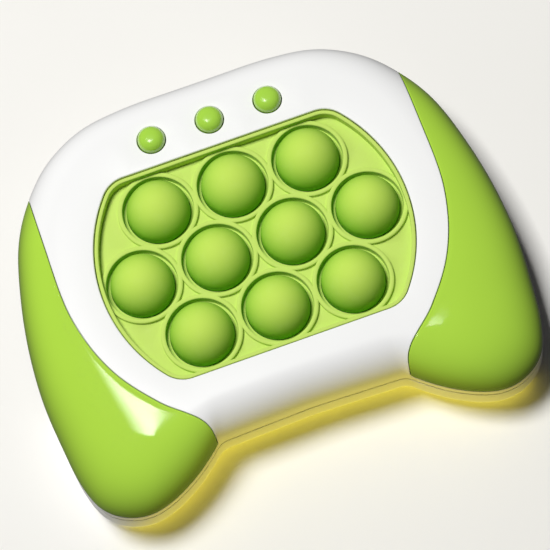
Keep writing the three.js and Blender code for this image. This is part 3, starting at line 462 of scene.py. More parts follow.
class Shape:
    """Gathers points in millimetres and faces, and makes them one mesh object in metres."""

    def __init__(self):
        self.points, self.faces = [], []

    def add(self, points):
        """Adds points and returns their indices."""
        first = len(self.points)
        self.points += [tuple(p) for p in points]
        return list(range(first, len(self.points)))

    def strip(self, a, b):
        """Faces between two closed rings, with their outside on the right when b lies above a."""
        count = len(a)
        for i in range(count):
            j = (i + 1) % count
            self.faces.append((a[i], a[j], b[j], b[i]))

    def rings(self, rings, flipped=False):
        """Adds rings one after another with faces between them, turned round where flipped."""
        made = [self.add(ring) for ring in rings]
        for a, b in zip(made, made[1:]):
            self.strip(*((b, a) if flipped else (a, b)))
        return made

    def cap(self, ring, up=True):
        """One flat face over a ring."""
        self.faces.append(tuple(ring) if up else tuple(reversed(ring)))

    def fill(self, loops, up=True):
        """A flat sheet inside the first loop and round the others."""
        flat = bmesh.new()
        made = {}
        for loop in loops:
            corners = []
            for index in loop:
                corner = flat.verts.new(self.points[index])
                made[corner] = index
                corners.append(corner)
            for a, b in zip(corners, corners[1:] + corners[:1]):
                flat.edges.new((a, b))
        bmesh.ops.triangle_fill(flat, use_beauty=True, use_dissolve=False, edges=flat.edges[:])
        for face in flat.faces:
            face.normal_update()
            corners = [made[v] for v in face.verts]
            self.faces.append(tuple(corners if (face.normal.z > 0) == up else reversed(corners)))
        flat.free()

    def turned(self, profile, centre, sides):
        """A turned solid, whose profile of radii and heights runs from its foot on the axis to its top."""
        angles = np.linspace(0, 2 * math.pi, sides, endpoint=False)
        ends = (profile[0], profile[-1])
        rings = []
        for radius, height in profile[1:-1]:
            rings.append([(centre[0] + radius * math.cos(a), centre[1] + radius * math.sin(a), height)
                          for a in angles])
        made = self.rings(rings)
        low, high = (self.add([(centre[0], centre[1], end[1])])[0] for end in ends)
        for i in range(sides):
            j = (i + 1) % sides
            self.faces.append((low, made[0][j], made[0][i]))
            self.faces.append((high, made[-1][i], made[-1][j]))

    def make(self, name, smooth_angle=40, closed=True):
        """The finished mesh object."""
        mesh = bpy.data.meshes.new(name)
        mesh.from_pydata([tuple(c * MM for c in p) for p in self.points], [], self.faces)
        return finished(name, mesh, smooth_angle, closed=closed)


def finished(name, mesh, smooth_angle=40, merge=MERGE * MM, closed=True):
    """A mesh object whose doubles are merged, empty faces dropped and sharp edges marked."""
    work = bmesh.new()
    work.from_mesh(mesh)
    bmesh.ops.remove_doubles(work, verts=work.verts, dist=merge)
    bmesh.ops.dissolve_degenerate(work, edges=work.edges, dist=merge / 2)
    if closed:
        bmesh.ops.recalc_face_normals(work, faces=work.faces)
    for face in work.faces:
        face.smooth = True
    work.to_mesh(mesh)
    work.free()
    mesh.set_sharp_from_angle(angle=math.radians(smooth_angle))
    mesh.validate()
    obj = bpy.data.objects.new(name, mesh)
    bpy.context.scene.collection.objects.link(obj)
    return obj


def circle(centre, radius, height, sides):
    """Points of a level circle, anticlockwise from above."""
    angles = np.linspace(0, 2 * math.pi, sides, endpoint=False)
    return np.stack([centre[0] + radius * np.cos(angles), centre[1] + radius * np.sin(angles),
                     np.full(sides, height)], axis=1)


def arc(x, y, radius, start, end, count):
    """Points in the plane from one angle to another, both included."""
    angles = np.linspace(start, end, count)
    return np.stack([x + radius * np.cos(angles), y + radius * np.sin(angles)], axis=1)


def window_line(grow, side_points=40, corner_points=20):
    """The window's line, grown: a circle cut off above and below, with rounded corners."""
    radius, half_height, corner = WINDOW_RADIUS + grow, WINDOW_HALF_HEIGHT + grow, WINDOW_CORNER + grow
    quarter = math.pi / 2
    flat = np.linspace(-WINDOW_CORNER_X, WINDOW_CORNER_X, side_points)[1:-1]
    right = np.vstack([
        arc(WINDOW_CORNER_X, -WINDOW_CORNER_Y, corner, -quarter, -WINDOW_TURN, corner_points),
        arc(0, 0, radius, -WINDOW_TURN, WINDOW_TURN, side_points)[1:-1],
        arc(WINDOW_CORNER_X, WINDOW_CORNER_Y, corner, WINDOW_TURN, quarter, corner_points)])
    far = np.stack([flat[::-1], np.full(len(flat), half_height)], axis=1)
    left = right * np.array([-1, 1])
    near = np.stack([flat, np.full(len(flat), -half_height)], axis=1)
    return np.vstack([right, far, left[::-1], near]) + np.array([0, PAD_Y])


def level(line, height):
    """A flat line's points at a height."""
    return np.hstack([line, np.full((len(line), 1), height)])


def dress(obj, material, body="casing", nodes=()):
    """Gives a finished piece its finish, its body and the nodes it stands for."""
    obj.data.materials.clear()
    obj.data.materials.append(material)
    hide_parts(*nodes)
    if body:
        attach(obj, body)


# The front: shell and grip covers


FAR_TIP_ROUND = 0.6
LEAN_PROBE = 2.0
UNDER_POINTS = 10
UNDER_BLEND = 1.5
WALL_POINTS = 5
SEAT_POINTS = 8
ROLL_POINTS = 20
LEAST_ROLL = 0.4
LEAST_STEP = 0.01


def seam_leans():
    """Angle between the seam and the wall's edge at the notch and on the far side, in radians."""
    near = LEAN_PROBE / BODY.perimeter
    return [math.atan2(Rib(share).seam(), LEAN_PROBE) for share in (NOTCH + near, FAR_END - near)]


LEANS = seam_leans()
UP = np.array([0.0, 0.0, 1.0])


def tip_rise(share):
    """How far the cover's lower edge rises towards its rounded ends."""
    rise = 0.0
    radii = (sizes().tip_round / MM, FAR_TIP_ROUND)
    for end, lean, radius in zip((NOTCH, FAR_END), LEANS, radii):
        reach = radius / math.tan(lean / 2)
        left = reach - abs(share - end) * BODY.perimeter
        if left > 0:
            rise = max(rise, radius - math.sqrt(max(radius**2 - left**2, 0)))
    return rise


def on_rib(rib, distance):
    """A point at a distance along a rib, where a negative one lies on the wall below."""
    if distance < 0:
        return rib.points[0] + UP * distance
    return rib.at(distance)


def seat_height(wall_to_face, plan, inset):
    """Height of the surface at a depth below the skin, a plan distance in from the wall."""
    r = min(max((plan - inset) / max(wall_to_face - inset, 1e-6), 0), 1)
    return LIP_TOP + (RISE - inset) * math.sqrt(1 - (1 - r) ** 2)


def plan_length(vector):
    """A vector's length seen from above."""
    return float(np.linalg.norm(vector[:2]))


def front_section(share):
    """One rib's section through the front shell, from under the face down, round the lip and up."""
    soft = sizes().edge_round / MM
    rib = Rib(share)
    covered = NOTCH < share < FAR_END
    step = rib.seam() if covered else 0.0
    start = rib.z_at(LIP_TOP + tip_rise(share)) if covered else 0.0
    covered = covered and step > start + 3 * LEAST_STEP
    wall, face = rib.points[0], rib.at(rib.r_at(1))
    width = plan_length(face - wall)
    inwards = np.append(BODY.lookup(BODY.inwards, [share])[0], 0)
    seam_plan = plan_length(rib.at(step) - wall) if covered else 0.0

    points = []
    for r in np.linspace(1, 0, UNDER_POINTS):
        under = min(max((seam_plan - SHELL_WALL - r * width) / UNDER_BLEND + 0.5, 0), 1)
        points.append(BODY.skin(share, [r], SHELL_WALL + SEAT_DEPTH * under)[0])
    inner = points[-1] * (1, 1, 0) + UP * FRONT_BASE
    outer = wall * (1, 1, 0) + UP * FRONT_BASE
    points += bend(inner, UP, -inwards, soft)
    points += bend(outer, inwards, UP, soft)
    low, high = FRONT_BASE + soft - LIP_TOP, (start if covered else 0) - soft
    points += [on_rib(rib, d) for d in np.linspace(low, high, WALL_POINTS)[1:-1]]

    if covered:
        lip, seam = on_rib(rib, start), rib.at(step)
        reach = min(soft, seam_plan / 3)
        points += bow(on_rib(rib, start - soft), lip, lip + inwards * reach)
        first = max(SEAT_DEPTH, plan_length(lip - wall) + reach)
        for part in np.linspace(0, 1, SEAT_POINTS):
            if seam_plan <= first:
                plan, height = seam_plan, lip[2]
            else:
                plan = first + (seam_plan - first) * part
                height = max(seat_height(width, plan, SEAT_DEPTH), lip[2])
            flat = wall + (seam - wall) * (plan / seam_plan)
            points.append(np.array([flat[0], flat[1], min(height, seam[2] - LEAST_STEP)]))
        depth = min(soft, (seam[2] - points[-1][2]) / 2)
        points += bow(seam - UP * depth, seam, rib.at(step + soft))
    else:
        points += [on_rib(rib, d) for d in np.linspace(-soft, 0, 4)]
        points += [wall] * SEAT_POINTS
        points += list(rib.many(np.linspace(0, soft, 4)))
        step = 0.0
    end = max(rib.r_at(1), step + soft + LEAST_ROLL)
    points += list(rib.many(np.linspace(step + soft, end, ROLL_POINTS)[1:]))
    return np.array(points)


def mirrored_ribs(sections):
    """Sections of the right half and their mirror images, all the way round."""
    left = [section * (-1, 1, 1) for section in sections[1:-1]]
    return list(sections) + left[::-1]


WINDOW_EDGE = 0.5
BUTTON_HOLE_EDGE = 0.3
HOLE_CHAMFER = 0.2


def hole_rings(line_at, soft):
    """Rings down a hole through the face, from its rounded upper edge to its lower one."""
    rings = [(out, FACE - down) for out, down in rounding(soft, 4)]
    rings += [(0, FACE_UNDER + HOLE_CHAMFER), (HOLE_CHAMFER, FACE_UNDER)]
    return [level(line_at(grow), height) for grow, height in rings]


def front_shell():
    """The white shell with its window, button holes and four screw posts."""
    shape = Shape()
    shares = rib_shares(0, 0.5, RIB_SPACING, close=(NOTCH, FAR_END))
    sections = mirrored_ribs([front_section(s) for s in shares])
    ribs = [shape.add(section) for section in sections]
    for a, b in zip(ribs, ribs[1:] + ribs[:1]):
        for k in range(len(a) - 1):
            shape.faces.append((a[k], b[k], b[k + 1], a[k + 1]))

    def button_hole(centre):
        return lambda grow: circle(centre, BUTTON_RADIUS + FIT_GAP + grow, 0, BUTTON_SIDES)[:, :2]

    upper, lower = [], []
    holes = [(window_line, WINDOW_EDGE)] + [(button_hole(c), BUTTON_HOLE_EDGE) for c in BUTTON_CENTRES]
    for line_at, soft in holes:
        made = shape.rings(hole_rings(line_at, soft))
        upper.append(made[0])
        lower.append(made[-1])
    shape.fill([[rib[-1] for rib in ribs], *upper], up=True)
    shape.fill([[rib[0] for rib in ribs], *lower], up=False)
    for centre in SCREW_CENTRES:
        top = FACE_UNDER + POST_OVERLAP if centre[1] > 0 else NEAR_POST_TOP
        profile = [(0, PILOT_TOP), (SHANK_HOLE, PILOT_TOP), (SHANK_HOLE, FRONT_BASE)]
        profile += [(POST_RADIUS, FRONT_BASE), (POST_RADIUS, top), (0, top)]
        shape.turned(profile, centre, POST_SIDES)
    return shape.make("front_shell_face", smooth_angle=50)


LEAST_COVER = 0.5
COVER_SKIN_POINTS = 24
COVER_UNDER_POINTS = 10


def cover_section(share):
    """One rib's closed section through a grip cover, or None where it has run out."""
    soft = sizes().edge_round / MM
    rib = Rib(share)
    seam_at = rib.seam(sizes().seam_gap / MM)
    low = LIP_TOP + FIT_GAP + tip_rise(share)
    start = rib.z_at(low)
    if seam_at - start < LEAST_COVER:
        return None
    wall, face, seam, foot = rib.points[0], rib.at(rib.r_at(1)), rib.at(seam_at), rib.at(start)
    width, seam_plan, foot_plan = (plan_length(point - wall) for point in (face, seam, foot))
    soft = min(soft, (seam_at - start) / 3)
    across = (seam - wall) * (1, 1, 0) / max(seam_plan, 1e-6)
    reach = min(soft, (seam_plan - foot_plan) / 3)
    points = bow(foot + across * reach, foot, rib.at(start + soft))
    points += list(rib.many(np.linspace(start + soft, seam_at - soft, COVER_SKIN_POINTS)[1:-1]))
    drop = min(soft, (seam[2] - low) / 3)
    points += bow(rib.at(seam_at - soft), seam, seam - UP * drop)
    for part in np.linspace(1, 0, COVER_UNDER_POINTS):
        if seam_plan <= COVER_WALL + 5 * LEAST_STEP:
            plan, height = seam_plan, low
        else:
            plan = COVER_WALL + (seam_plan - COVER_WALL) * part
            height = max(seat_height(width, plan, COVER_WALL), low)
        flat = wall + across * plan
        points.append(np.array([flat[0], flat[1], min(height, seam[2] - drop - LEAST_STEP)]))
    flat = wall + across * max(min(COVER_WALL, seam_plan), foot_plan + reach)
    points.append(np.array([flat[0], flat[1], low]))
    return np.array(points)


def grip_cover(side):
    """The glossy cover of one grip: side is 1 on the right and -1 on the left."""
    shape = Shape()
    shares = rib_shares(NOTCH, FAR_END, RIB_SPACING, close=(NOTCH, FAR_END))
    sections = [section for section in map(cover_section, shares) if section is not None]
    if side < 0:
        sections = [section * (-1, 1, 1) for section in sections][::-1]
    rings = shape.rings(sections)
    shape.cap(rings[0], up=False)
    shape.cap(rings[-1], up=True)
    name = "right_grip_skin" if side > 0 else "left_grip_skin"
    return shape.make(name, smooth_angle=50)


# The back: shell, door and screws


def wall_line(shares, inset):
    """The body's outline moved inwards."""
    return BODY.lookup(BODY.wall, shares) + BODY.lookup(BODY.inwards, shares) * inset


def rounded_rectangle(half, corner, centre_y, steps=8):
    """Points of a rounded rectangle on the middle line, anticlockwise from above."""
    x, y = half[0] - corner, half[1] - corner
    points = []
    for sx, sy, turn in ((1, -1, -90), (1, 1, 0), (-1, 1, 90), (-1, -1, 180)):
        for k in range(steps + 1):
            angle = math.radians(turn + 90 * k / steps)
            points.append((sx * x + corner * math.cos(angle), centre_y + sy * y + corner * math.sin(angle)))
    return np.array(points)


def ear_line(radius, chord):
    """The part of a circle round the door's screw that lies beyond a chord."""
    turn = math.asin((chord - DOOR_SCREW[1]) / radius)
    return arc(0, DOOR_SCREW[1], radius, math.pi - turn, 2 * math.pi + turn, EAR_POINTS)


def door_line(grow):
    """The battery door's outline with its ear, grown by a distance."""
    half = DOOR_HALF + grow
    ear = ear_line(EAR_RADIUS + grow, DOOR_CENTRE_Y - half[1])
    return np.vstack([ear, rounded_rectangle(half, DOOR_CORNER + grow, DOOR_CENTRE_Y)])


def drill(shape, line_rings):
    """Adds rings one after another, walls facing into the hole, and returns the first and last."""
    made = shape.rings(line_rings, flipped=True)
    return made[0], made[-1]


def drill_round(shape, centre, profile, sides):
    """Drills a round hole with a profile of radii and heights."""
    return drill(shape, [circle(centre, radius, height, sides) for radius, height in profile])


SEAT_EAR_RADIUS, SEAT_EAR_CHORD = 5.0, -26.3
PILOT_HOLE_TOP = 12.9
BOSS_LOW, BOSS_TOP = 2.4, 13.8
HOLLOW_STEPS, BOTTOM_STEPS = 9, 15


def back_shell():
    """The tub with its parting groove, screw recesses, sound holes, battery room and speaker seat."""
    shape = Shape()
    soft = sizes().edge_round / MM
    half = rib_shares(0, 0.5, BACK_RIB_SPACING)
    shares = np.array(half + [1 - s for s in half[1:-1]][::-1])
    hollow = BOTTOM_ROUND - SHELL_WALL
    turns = np.linspace(math.pi / 2, 0, HOLLOW_STEPS)
    insets = [(BOTTOM_ROUND - hollow * math.cos(t), BOTTOM_ROUND - hollow * math.sin(t)) for t in turns]
    insets += [(SHELL_WALL - out, BACK_TOP - down) for down, out in rounding(soft)]
    insets += [(GROOVE_DEPTH, BACK_TOP), (GROOVE_DEPTH, BACK_TOP - GROOVE_HEIGHT)]
    insets += [(into, BACK_TOP - GROOVE_HEIGHT - down) for into, down in rounding(GROOVE_ROUND)]
    insets.append((0, (BACK_TOP + BOTTOM_ROUND) / 2))
    turns = np.linspace(0, math.pi / 2, BOTTOM_STEPS)
    insets += [(BOTTOM_ROUND * (1 - math.cos(t)), BOTTOM_ROUND * (1 - math.sin(t))) for t in turns]
    rings = shape.rings([level(wall_line(shares, inset), z) for inset, z in insets], flipped=True)
    below, above = [rings[-1]], [rings[0]]

    through = []
    for centre in SCREW_CENTRES:
        profile = [(HEAD_RECESS_RADIUS + out, up) for out, up in rounding(soft)]
        profile += [(HEAD_RECESS_RADIUS, HEAD_RECESS_DEPTH), (SHANK_HOLE, HEAD_RECESS_DEPTH)]
        profile += [(SHANK_HOLE, BACK_TOP), (COLUMN_RADIUS - COLUMN_EDGE, BACK_TOP)]
        profile += [(COLUMN_RADIUS, BACK_TOP - COLUMN_EDGE), (COLUMN_RADIUS, SHELL_WALL)]
        through.append(drill_round(shape, centre, profile, COLUMN_SIDES))
    sound_profile = [(SOUND_HOLE_RADIUS + out, up) for out, up in rounding(SOUND_HOLE_EDGE)]
    sound_profile += [(SOUND_HOLE_RADIUS, SHELL_WALL)]
    for i in range(SOUND_HOLES):
        reach = SOUND_RING_RADIUS if i else 0
        angle = 2 * math.pi * i / (SOUND_HOLES - 1)
        centre = SPEAKER + reach * np.array([math.cos(angle), math.sin(angle)])
        through.append(drill_round(shape, centre, sound_profile, SOUND_HOLE_SIDES))
    below += [low for low, _ in through]
    above += [high for _, high in through]

    door_rings = [level(door_line(FIT_GAP + out), up) for out, up in rounding(soft)]
    low, high = drill(shape, [*door_rings, level(door_line(FIT_GAP), DOOR_LEDGE)])
    below.append(low)
    room = rounded_rectangle(ROOM_HALF, ROOM_CORNER, DOOR_CENTRE_Y, steps=3)
    room_low, room_high = drill(shape, [level(room, DOOR_LEDGE), level(room, ROOM_TOP)])
    shape.cap(room_high, up=False)
    seat_top = EAR_TOP + FIT_GAP
    ear = ear_line(SEAT_EAR_RADIUS, SEAT_EAR_CHORD)
    ear_low, ear_high = drill(shape, [level(ear, DOOR_LEDGE), level(ear, seat_top)])
    pilot = [(SHANK_HOLE, seat_top), (SHANK_HOLE, PILOT_HOLE_TOP)]
    pilot_low, pilot_high = drill_round(shape, DOOR_SCREW, pilot, POST_SIDES)
    shape.cap(pilot_high, up=False)
    shape.fill([high, room_low, ear_low], up=False)
    shape.fill([ear_high, pilot_low], up=False)

    box_line = rounded_rectangle(ROOM_HALF + ROOM_WALL, ROOM_WALL, DOOR_CENTRE_Y, steps=3)
    box_rings = shape.rings([level(box_line, z) for z in (SHELL_WALL, ROOM_TOP + ROOM_WALL)])
    shape.cap(box_rings[1], up=True)
    above.append(box_rings[0])
    shape.fill(below, up=False)
    shape.fill(above, up=True)

    boss = [(0, BOSS_LOW), (POST_RADIUS, BOSS_LOW), (POST_RADIUS, BOSS_TOP), (0, BOSS_TOP)]
    shape.turned(boss, DOOR_SCREW, POST_SIDES)
    inner, outer = SPEAKER_SEAT_RADII
    corners = [(inner, SPEAKER_SEAT_LOW), (outer, SPEAKER_SEAT_LOW), (outer, SPEAKER_SEAT_TOP),
               (inner, SPEAKER_SEAT_TOP)]
    made = shape.rings([circle(SPEAKER, radius, height, SPEAKER_SEAT_SIDES) for radius, height in corners])
    shape.strip(made[-1], made[0])
    return shape.make("back_shell_tub", smooth_angle=35)


DOOR_EDGE, DOOR_CHAMFER = 0.35, 0.15
DOOR_EAR_RADIUS, DOOR_EAR_CHORD = 4.65, -26.6
DOOR_GROOVES = 6
FIRST_DOOR_GROOVE, DOOR_GROOVE_PITCH = 4.2, 2.3
DOOR_GROOVE_HALF = np.array([7.0, 0.55])
DOOR_HOLE_SIDES = 40
LEAST_FLAT = 0.001

# How far each ring of a groove or of the screw's hole stands out, and its height over the door's outer face
DOOR_GROOVE_RINGS = [(0.35, 0), (0.12, 0.06), (-0.02, 0.22), (-0.2, 0.42), (-0.4, 0.5)]
DOOR_HEAD_RINGS = [(3.0, 0), (2.85, 0.05), (2.8, 0.2), (2.8, 1.8), (SHANK_HOLE, 1.8)]


def groove_line(y, grow):
    """The outline of one finger groove, which ends in half circles."""
    half = DOOR_GROOVE_HALF + grow
    return rounded_rectangle(half, half[1] - LEAST_FLAT, y, steps=6)


def battery_door():
    """The door with its finger grooves and the ear that its screw goes through."""
    shape = Shape()
    low = DOOR_LOW[2]
    top = low + DOOR_THICKNESS
    rings = [level(door_line(-back), low + up) for back, up in rounding(DOOR_EDGE)]
    rings += [level(door_line(0), top - DOOR_CHAMFER), level(door_line(-DOOR_CHAMFER), top)]
    made = shape.rings(rings)
    below = [made[0]]
    for i in range(DOOR_GROOVES):
        y = DOOR_HIGH[1] - FIRST_DOOR_GROOVE - DOOR_GROOVE_PITCH * i
        first, last = drill(shape, [level(groove_line(y, grow), low + up) for grow, up in DOOR_GROOVE_RINGS])
        below.append(first)
        shape.cap(last, up=False)
    screw_hole = [(radius, low + up) for radius, up in DOOR_HEAD_RINGS] + [(SHANK_HOLE, EAR_TOP)]
    hole_low, hole_high = drill_round(shape, DOOR_SCREW, screw_hole, DOOR_HOLE_SIDES)
    below.append(hole_low)
    shape.fill(below, up=False)
    ear = ear_line(DOOR_EAR_RADIUS, DOOR_EAR_CHORD)
    ear_rings = shape.rings([level(ear, top), level(ear, EAR_TOP)])
    shape.fill([made[-1], ear_rings[0]], up=True)
    shape.fill([ear_rings[-1], hole_high], up=True)
    return shape.make("battery_door_panel", smooth_angle=35)


# The pad, its bubbles and the buttons

FURTHEST = 200.0
NEIGHBOUR_PITCHES = 1.1
HALVINGS = 50
CELL_SIDES = 240
PROBES = 1441
LEAST_TURN = 0.004
PAD_LIP_EDGE = 0.4
BUBBLE_HOLE_DEPTH = 1.7
LEAST_LIP_STEP = 0.02

# The section of the ring and recess, from outside inwards. The ring's points stand out from its outer or
# inner edge and rise by shares of its height. The recess wall's stand in from the inner edge and sink by
# shares of the depth. The floor's stand out from the bubble and sink below the recess.
RING_OUTSIDE = [(0.12, 0), (0, 0.08), (-0.02, 0.5), (-0.06, 0.86), (-0.22, 1)]
RING_CROWN = 1.04
RING_INSIDE = [(0.26, 1), (0.1, 0.9), (0.03, 0.6), (0, 0.1)]
RECESS_WALL = [(0.03, 0.8), (0.12, 1)]
RECESS_FLOOR = [(0.3, 0), (0.14, 0.08)]


def window_depth(points, grow):
    """Distance outside the grown window's line, and the direction away from it, for each point."""
    q = points - np.array([0, PAD_Y])
    away = np.abs(q) - np.array([WINDOW_CORNER_X, WINDOW_CORNER_Y])
    turn = np.arctan2(away[:, 1], away[:, 0])
    in_corner = (turn >= WINDOW_TURN) & (turn <= math.pi / 2)
    radius = np.linalg.norm(q, axis=1)
    from_flat = np.abs(q[:, 1]) - WINDOW_HALF_HEIGHT
    from_arc = radius - WINDOW_RADIUS
    flat = ~in_corner & (from_flat > from_arc)
    depth = np.where(in_corner, np.linalg.norm(away, axis=1) - WINDOW_CORNER, np.maximum(from_flat, from_arc))
    normal = q / np.maximum(radius, 1e-9)[:, None]
    normal[flat] = np.stack([np.zeros(flat.sum()), np.sign(q[flat, 1])], axis=1)
    corner_way = away / np.maximum(np.linalg.norm(away, axis=1), 1e-9)[:, None] * np.sign(q)
    normal[in_corner] = corner_way[in_corner]
    return depth - grow, normal


def lip_reach(centre, angles):
    """Distance from a bubble's centre to the lip's inner line in each direction."""
    ways = np.stack([np.cos(angles), np.sin(angles)], axis=1)
    near, far = np.zeros(len(angles)), np.full(len(angles), FURTHEST)
    for _ in range(HALVINGS):
        half = (near + far) / 2
        inside = window_depth(centre + ways * half[:, None], LIP_INSIDE)[0] < 0
        near, far = np.where(inside, half, near), np.where(inside, far, half)
    return near


def cell_reach(centre, angles):
    """Distance from a bubble's centre halfway to its neighbours in each direction."""
    reach = np.full(len(angles), FURTHEST)
    for other in BUBBLE_CENTRES:
        way = other - centre
        distance = float(np.linalg.norm(way))
        if 0 < distance < BUBBLE_PITCH * NEIGHBOUR_PITCHES:
            lean = np.cos(angles - math.atan2(way[1], way[0]))
            limit = np.where(lean > 1e-6, distance / 2 / np.maximum(lean, 1e-6), FURTHEST)
            reach = np.minimum(reach, limit)
    return reach


def cell_angles(centre):
    """Directions round a bubble: even ones, and those of the corners where its cell meets the lip."""
    even = list(np.linspace(0, 2 * math.pi, CELL_SIDES, endpoint=False))
    probe = np.linspace(0, 2 * math.pi, PROBES)
    gap = lip_reach(centre, probe) - cell_reach(centre, probe)
    for a, b, low, high in zip(probe, probe[1:], gap, gap[1:]):
        if low * high < 0:
            for _ in range(HALVINGS):
                half = (a + b) / 2
                there = np.array([half])
                value = (lip_reach(centre, there) - cell_reach(centre, there))[0]
                a, b = (half, b) if value * low > 0 else (a, half)
            even = [x for x in even if abs(x - a) > LEAST_TURN] + [a]
    return np.array(sorted(even))


def rim_profile():
    """Radii and heights of the ring and recess round a bubble, from outside inwards."""
    inner, width, top, deep = (value / MM for value in (
        sizes().recess_radius, sizes().rim_width, sizes().rim_height, sizes().recess_depth))
    profile = [(inner + width + out, share * top) for out, share in RING_OUTSIDE]
    profile.append((inner + width / 2, RING_CROWN * top))
    profile += [(inner + out, share * top) for out, share in RING_INSIDE]
    profile += [(inner - into, -share * deep) for into, share in RECESS_WALL]
    return profile + [(BUBBLE_RADIUS + out, -deep - down) for out, down in RECESS_FLOOR]


def bubble_pad():
    """The soft pad: a cell with its ring and recess round each bubble, joined to a lip and a flange."""
    shape = Shape()
    profile = rim_profile()
    radii, heights = np.array(profile)[::-1].T
    outline, below = [], []
    for centre in BUBBLE_CENTRES:
        angles = cell_angles(centre)
        lip, cell = lip_reach(centre, angles), cell_reach(centre, angles)
        reach = np.minimum(lip, cell)
        ways = np.stack([np.cos(angles), np.sin(angles)], axis=1)
        rings = []
        outward = profile[0][0] + (reach - profile[0][0]) / 2
        for radius in [reach, np.where(reach > profile[0][0], outward, reach)] + [r for r, _ in profile]:
            at = np.minimum(radius, reach)
            height = PAD_Z + np.interp(at, radii, heights)
            rings.append(np.hstack([centre + ways * at[:, None], height[:, None]]))
        rings += [level(centre + ways * (BUBBLE_RADIUS + BUBBLE_GAP), z)
                  for z in (PAD_Z - BUBBLE_HOLE_DEPTH, PAD_UNDER)]
        made = shape.rings(rings)
        below.append(made[-1])
        outline += [(made[0][k], angles[k]) for k in range(len(angles)) if lip[k] <= cell[k] + 1e-4]

    points = np.array([shape.points[index] for index, _ in outline])
    kept = []
    for k in np.argsort(np.arctan2(points[:, 1] - PAD_Y, points[:, 0])):
        if not kept or plan_length(points[k] - points[kept[-1]]) > LEAST_LIP_STEP:
            kept.append(k)
    base = points[kept]
    normal = window_depth(base[:, :2], LIP_INSIDE)[1]
    flange = PAD_LIP + FIT_GAP + PAD_FLANGE
    lines = [(out, PAD_LIP_Z - down) for down, out in rounding(PAD_LIP_EDGE)]
    lines += [(PAD_LIP - back, PAD_LIP_Z - down) for back, down in rounding(PAD_LIP_EDGE)]
    lines += [(PAD_LIP, FLANGE_TOP), (flange, FLANGE_TOP), (flange, PAD_UNDER)]
    rings = [level(base[:, :2] + normal * grow, z) for grow, z in lines]
    shape.fill([shape.rings([base, *rings], flipped=True)[-1], *below], up=False)
    return shape.make("bubble_pad_sheet", smooth_angle=60)


# Nodes


class Value:
    """A node's socket that takes part in sums."""

    def __init__(self, nodes, socket):
        self.nodes, self.socket = nodes, socket

    def math(self, operation, *others):
        """A Math node's result. All the values that it works on are given, this one too."""
        return self.nodes.add("ShaderNodeMath", {"operation": operation}, dict(enumerate(others)))

    def __add__(self, other):
        return self.math("ADD", self, other)

    def __radd__(self, other):
        return self.math("ADD", other, self)

    def __sub__(self, other):
        return self.math("SUBTRACT", self, other)

    def __rsub__(self, other):
        return self.math("SUBTRACT", other, self)

    def __mul__(self, other):
        return self.math("MULTIPLY", self, other)

    def __rmul__(self, other):
        return self.math("MULTIPLY", other, self)

    def least(self, other):
        return self.math("MINIMUM", self, other)

    def most(self, other):
        return self.math("MAXIMUM", self, other)

    def clamped(self):
        """The value held between 0 and 1."""
        return self.most(0.0).least(1.0)

    def ramp(self, low, high, start=0.0, end=1.0, smooth=False):
        """Runs from start to end as the value runs from low to high."""
        kind = "SMOOTHSTEP" if smooth else "LINEAR"
        settings = {"interpolation_type": kind}
        places = {0: self, 1: low, 2: high, 3: start, 4: end}
        return self.nodes.add("ShaderNodeMapRange", settings, places)


class Nodes:
    """A node tree and the one way nodes are added to it."""

    def __init__(self, tree):
        self.tree = tree

    def add(self, kind, settings=None, inputs=None, output=0):
        """Adds a node: its settings first, then the values or links of its sockets."""
        node = self.tree.nodes.new(kind)
        for name, value in (settings or {}).items():
            setattr(node, name, value)
        for name, value in (inputs or {}).items():
            if isinstance(value, Value):
                self.tree.links.new(value.socket, node.inputs[name])
            else:
                node.inputs[name].default_value = value
        return Value(self, node.outputs[output])


class Grown(Nodes):
    """A Geometry Nodes tree with named inputs, run once on an object and turned into a plain mesh."""

    def __init__(self, name, inputs):
        tree = bpy.data.node_groups.new(name, "GeometryNodeTree")
        tree.interface.new_socket("Geometry", in_out="INPUT", socket_type="NodeSocketGeometry")
        tree.interface.new_socket("Geometry", in_out="OUTPUT", socket_type="NodeSocketGeometry")
        for label, kind in inputs.items():
            tree.interface.new_socket(label, in_out="INPUT", socket_type=kind)
        super().__init__(tree)
        self.start = tree.nodes.new("NodeGroupInput")
        self.end = tree.nodes.new("NodeGroupOutput")

    def input(self, label):
        """The value of a named input."""
        return Value(self, self.start.outputs[label])

    def close(self, geometry, material):
        """Ends the tree with plain geometry in a material."""
        real = self.add("GeometryNodeRealizeInstances", {}, {"Geometry": geometry})
        painted = self.add("GeometryNodeSetMaterial", {}, {"Geometry": real, "Material": material})
        self.tree.links.new(painted.socket, self.end.inputs[0])

    def run(self, name, points=((0, 0, 0),), **values):
        """A plain mesh object from the tree, on points in metres."""
        mesh = bpy.data.meshes.new(name)
        mesh.from_pydata([tuple(p) for p in points], [], [])
        grower = bpy.data.objects.new(name + "_start", mesh)
        bpy.context.scene.collection.objects.link(grower)
        modifier = grower.modifiers.new("Grow", "NODES")
        modifier.node_group = self.tree
        for item in self.tree.interface.items_tree:
            label = item.name.lower().replace(" ", "_")
            if item.in_out == "INPUT" and label in values:
                modifier[item.identifier] = values[label]
        shown = grower.evaluated_get(bpy.context.evaluated_depsgraph_get())
        made = bpy.data.meshes.new_from_object(shown)
        bpy.data.objects.remove(grower)
        made.name = name
        return finished(name, made, merge=GROWN_MERGE * MM)


FLOAT, WHOLE, PLACE = "NodeSocketFloat", "NodeSocketInt", "NodeSocketVector"


# Shares of a dome's line, from the crown inside by the lower edge to the crown outside
EDGE_IN, EDGE_START, EDGE_END, EDGE_OUT = 0.44, 0.47, 0.53, 0.56
DOME_LINE_POINTS = 101
DROP_SHARE = 0.03
SKIRT_SHARE = 0.15


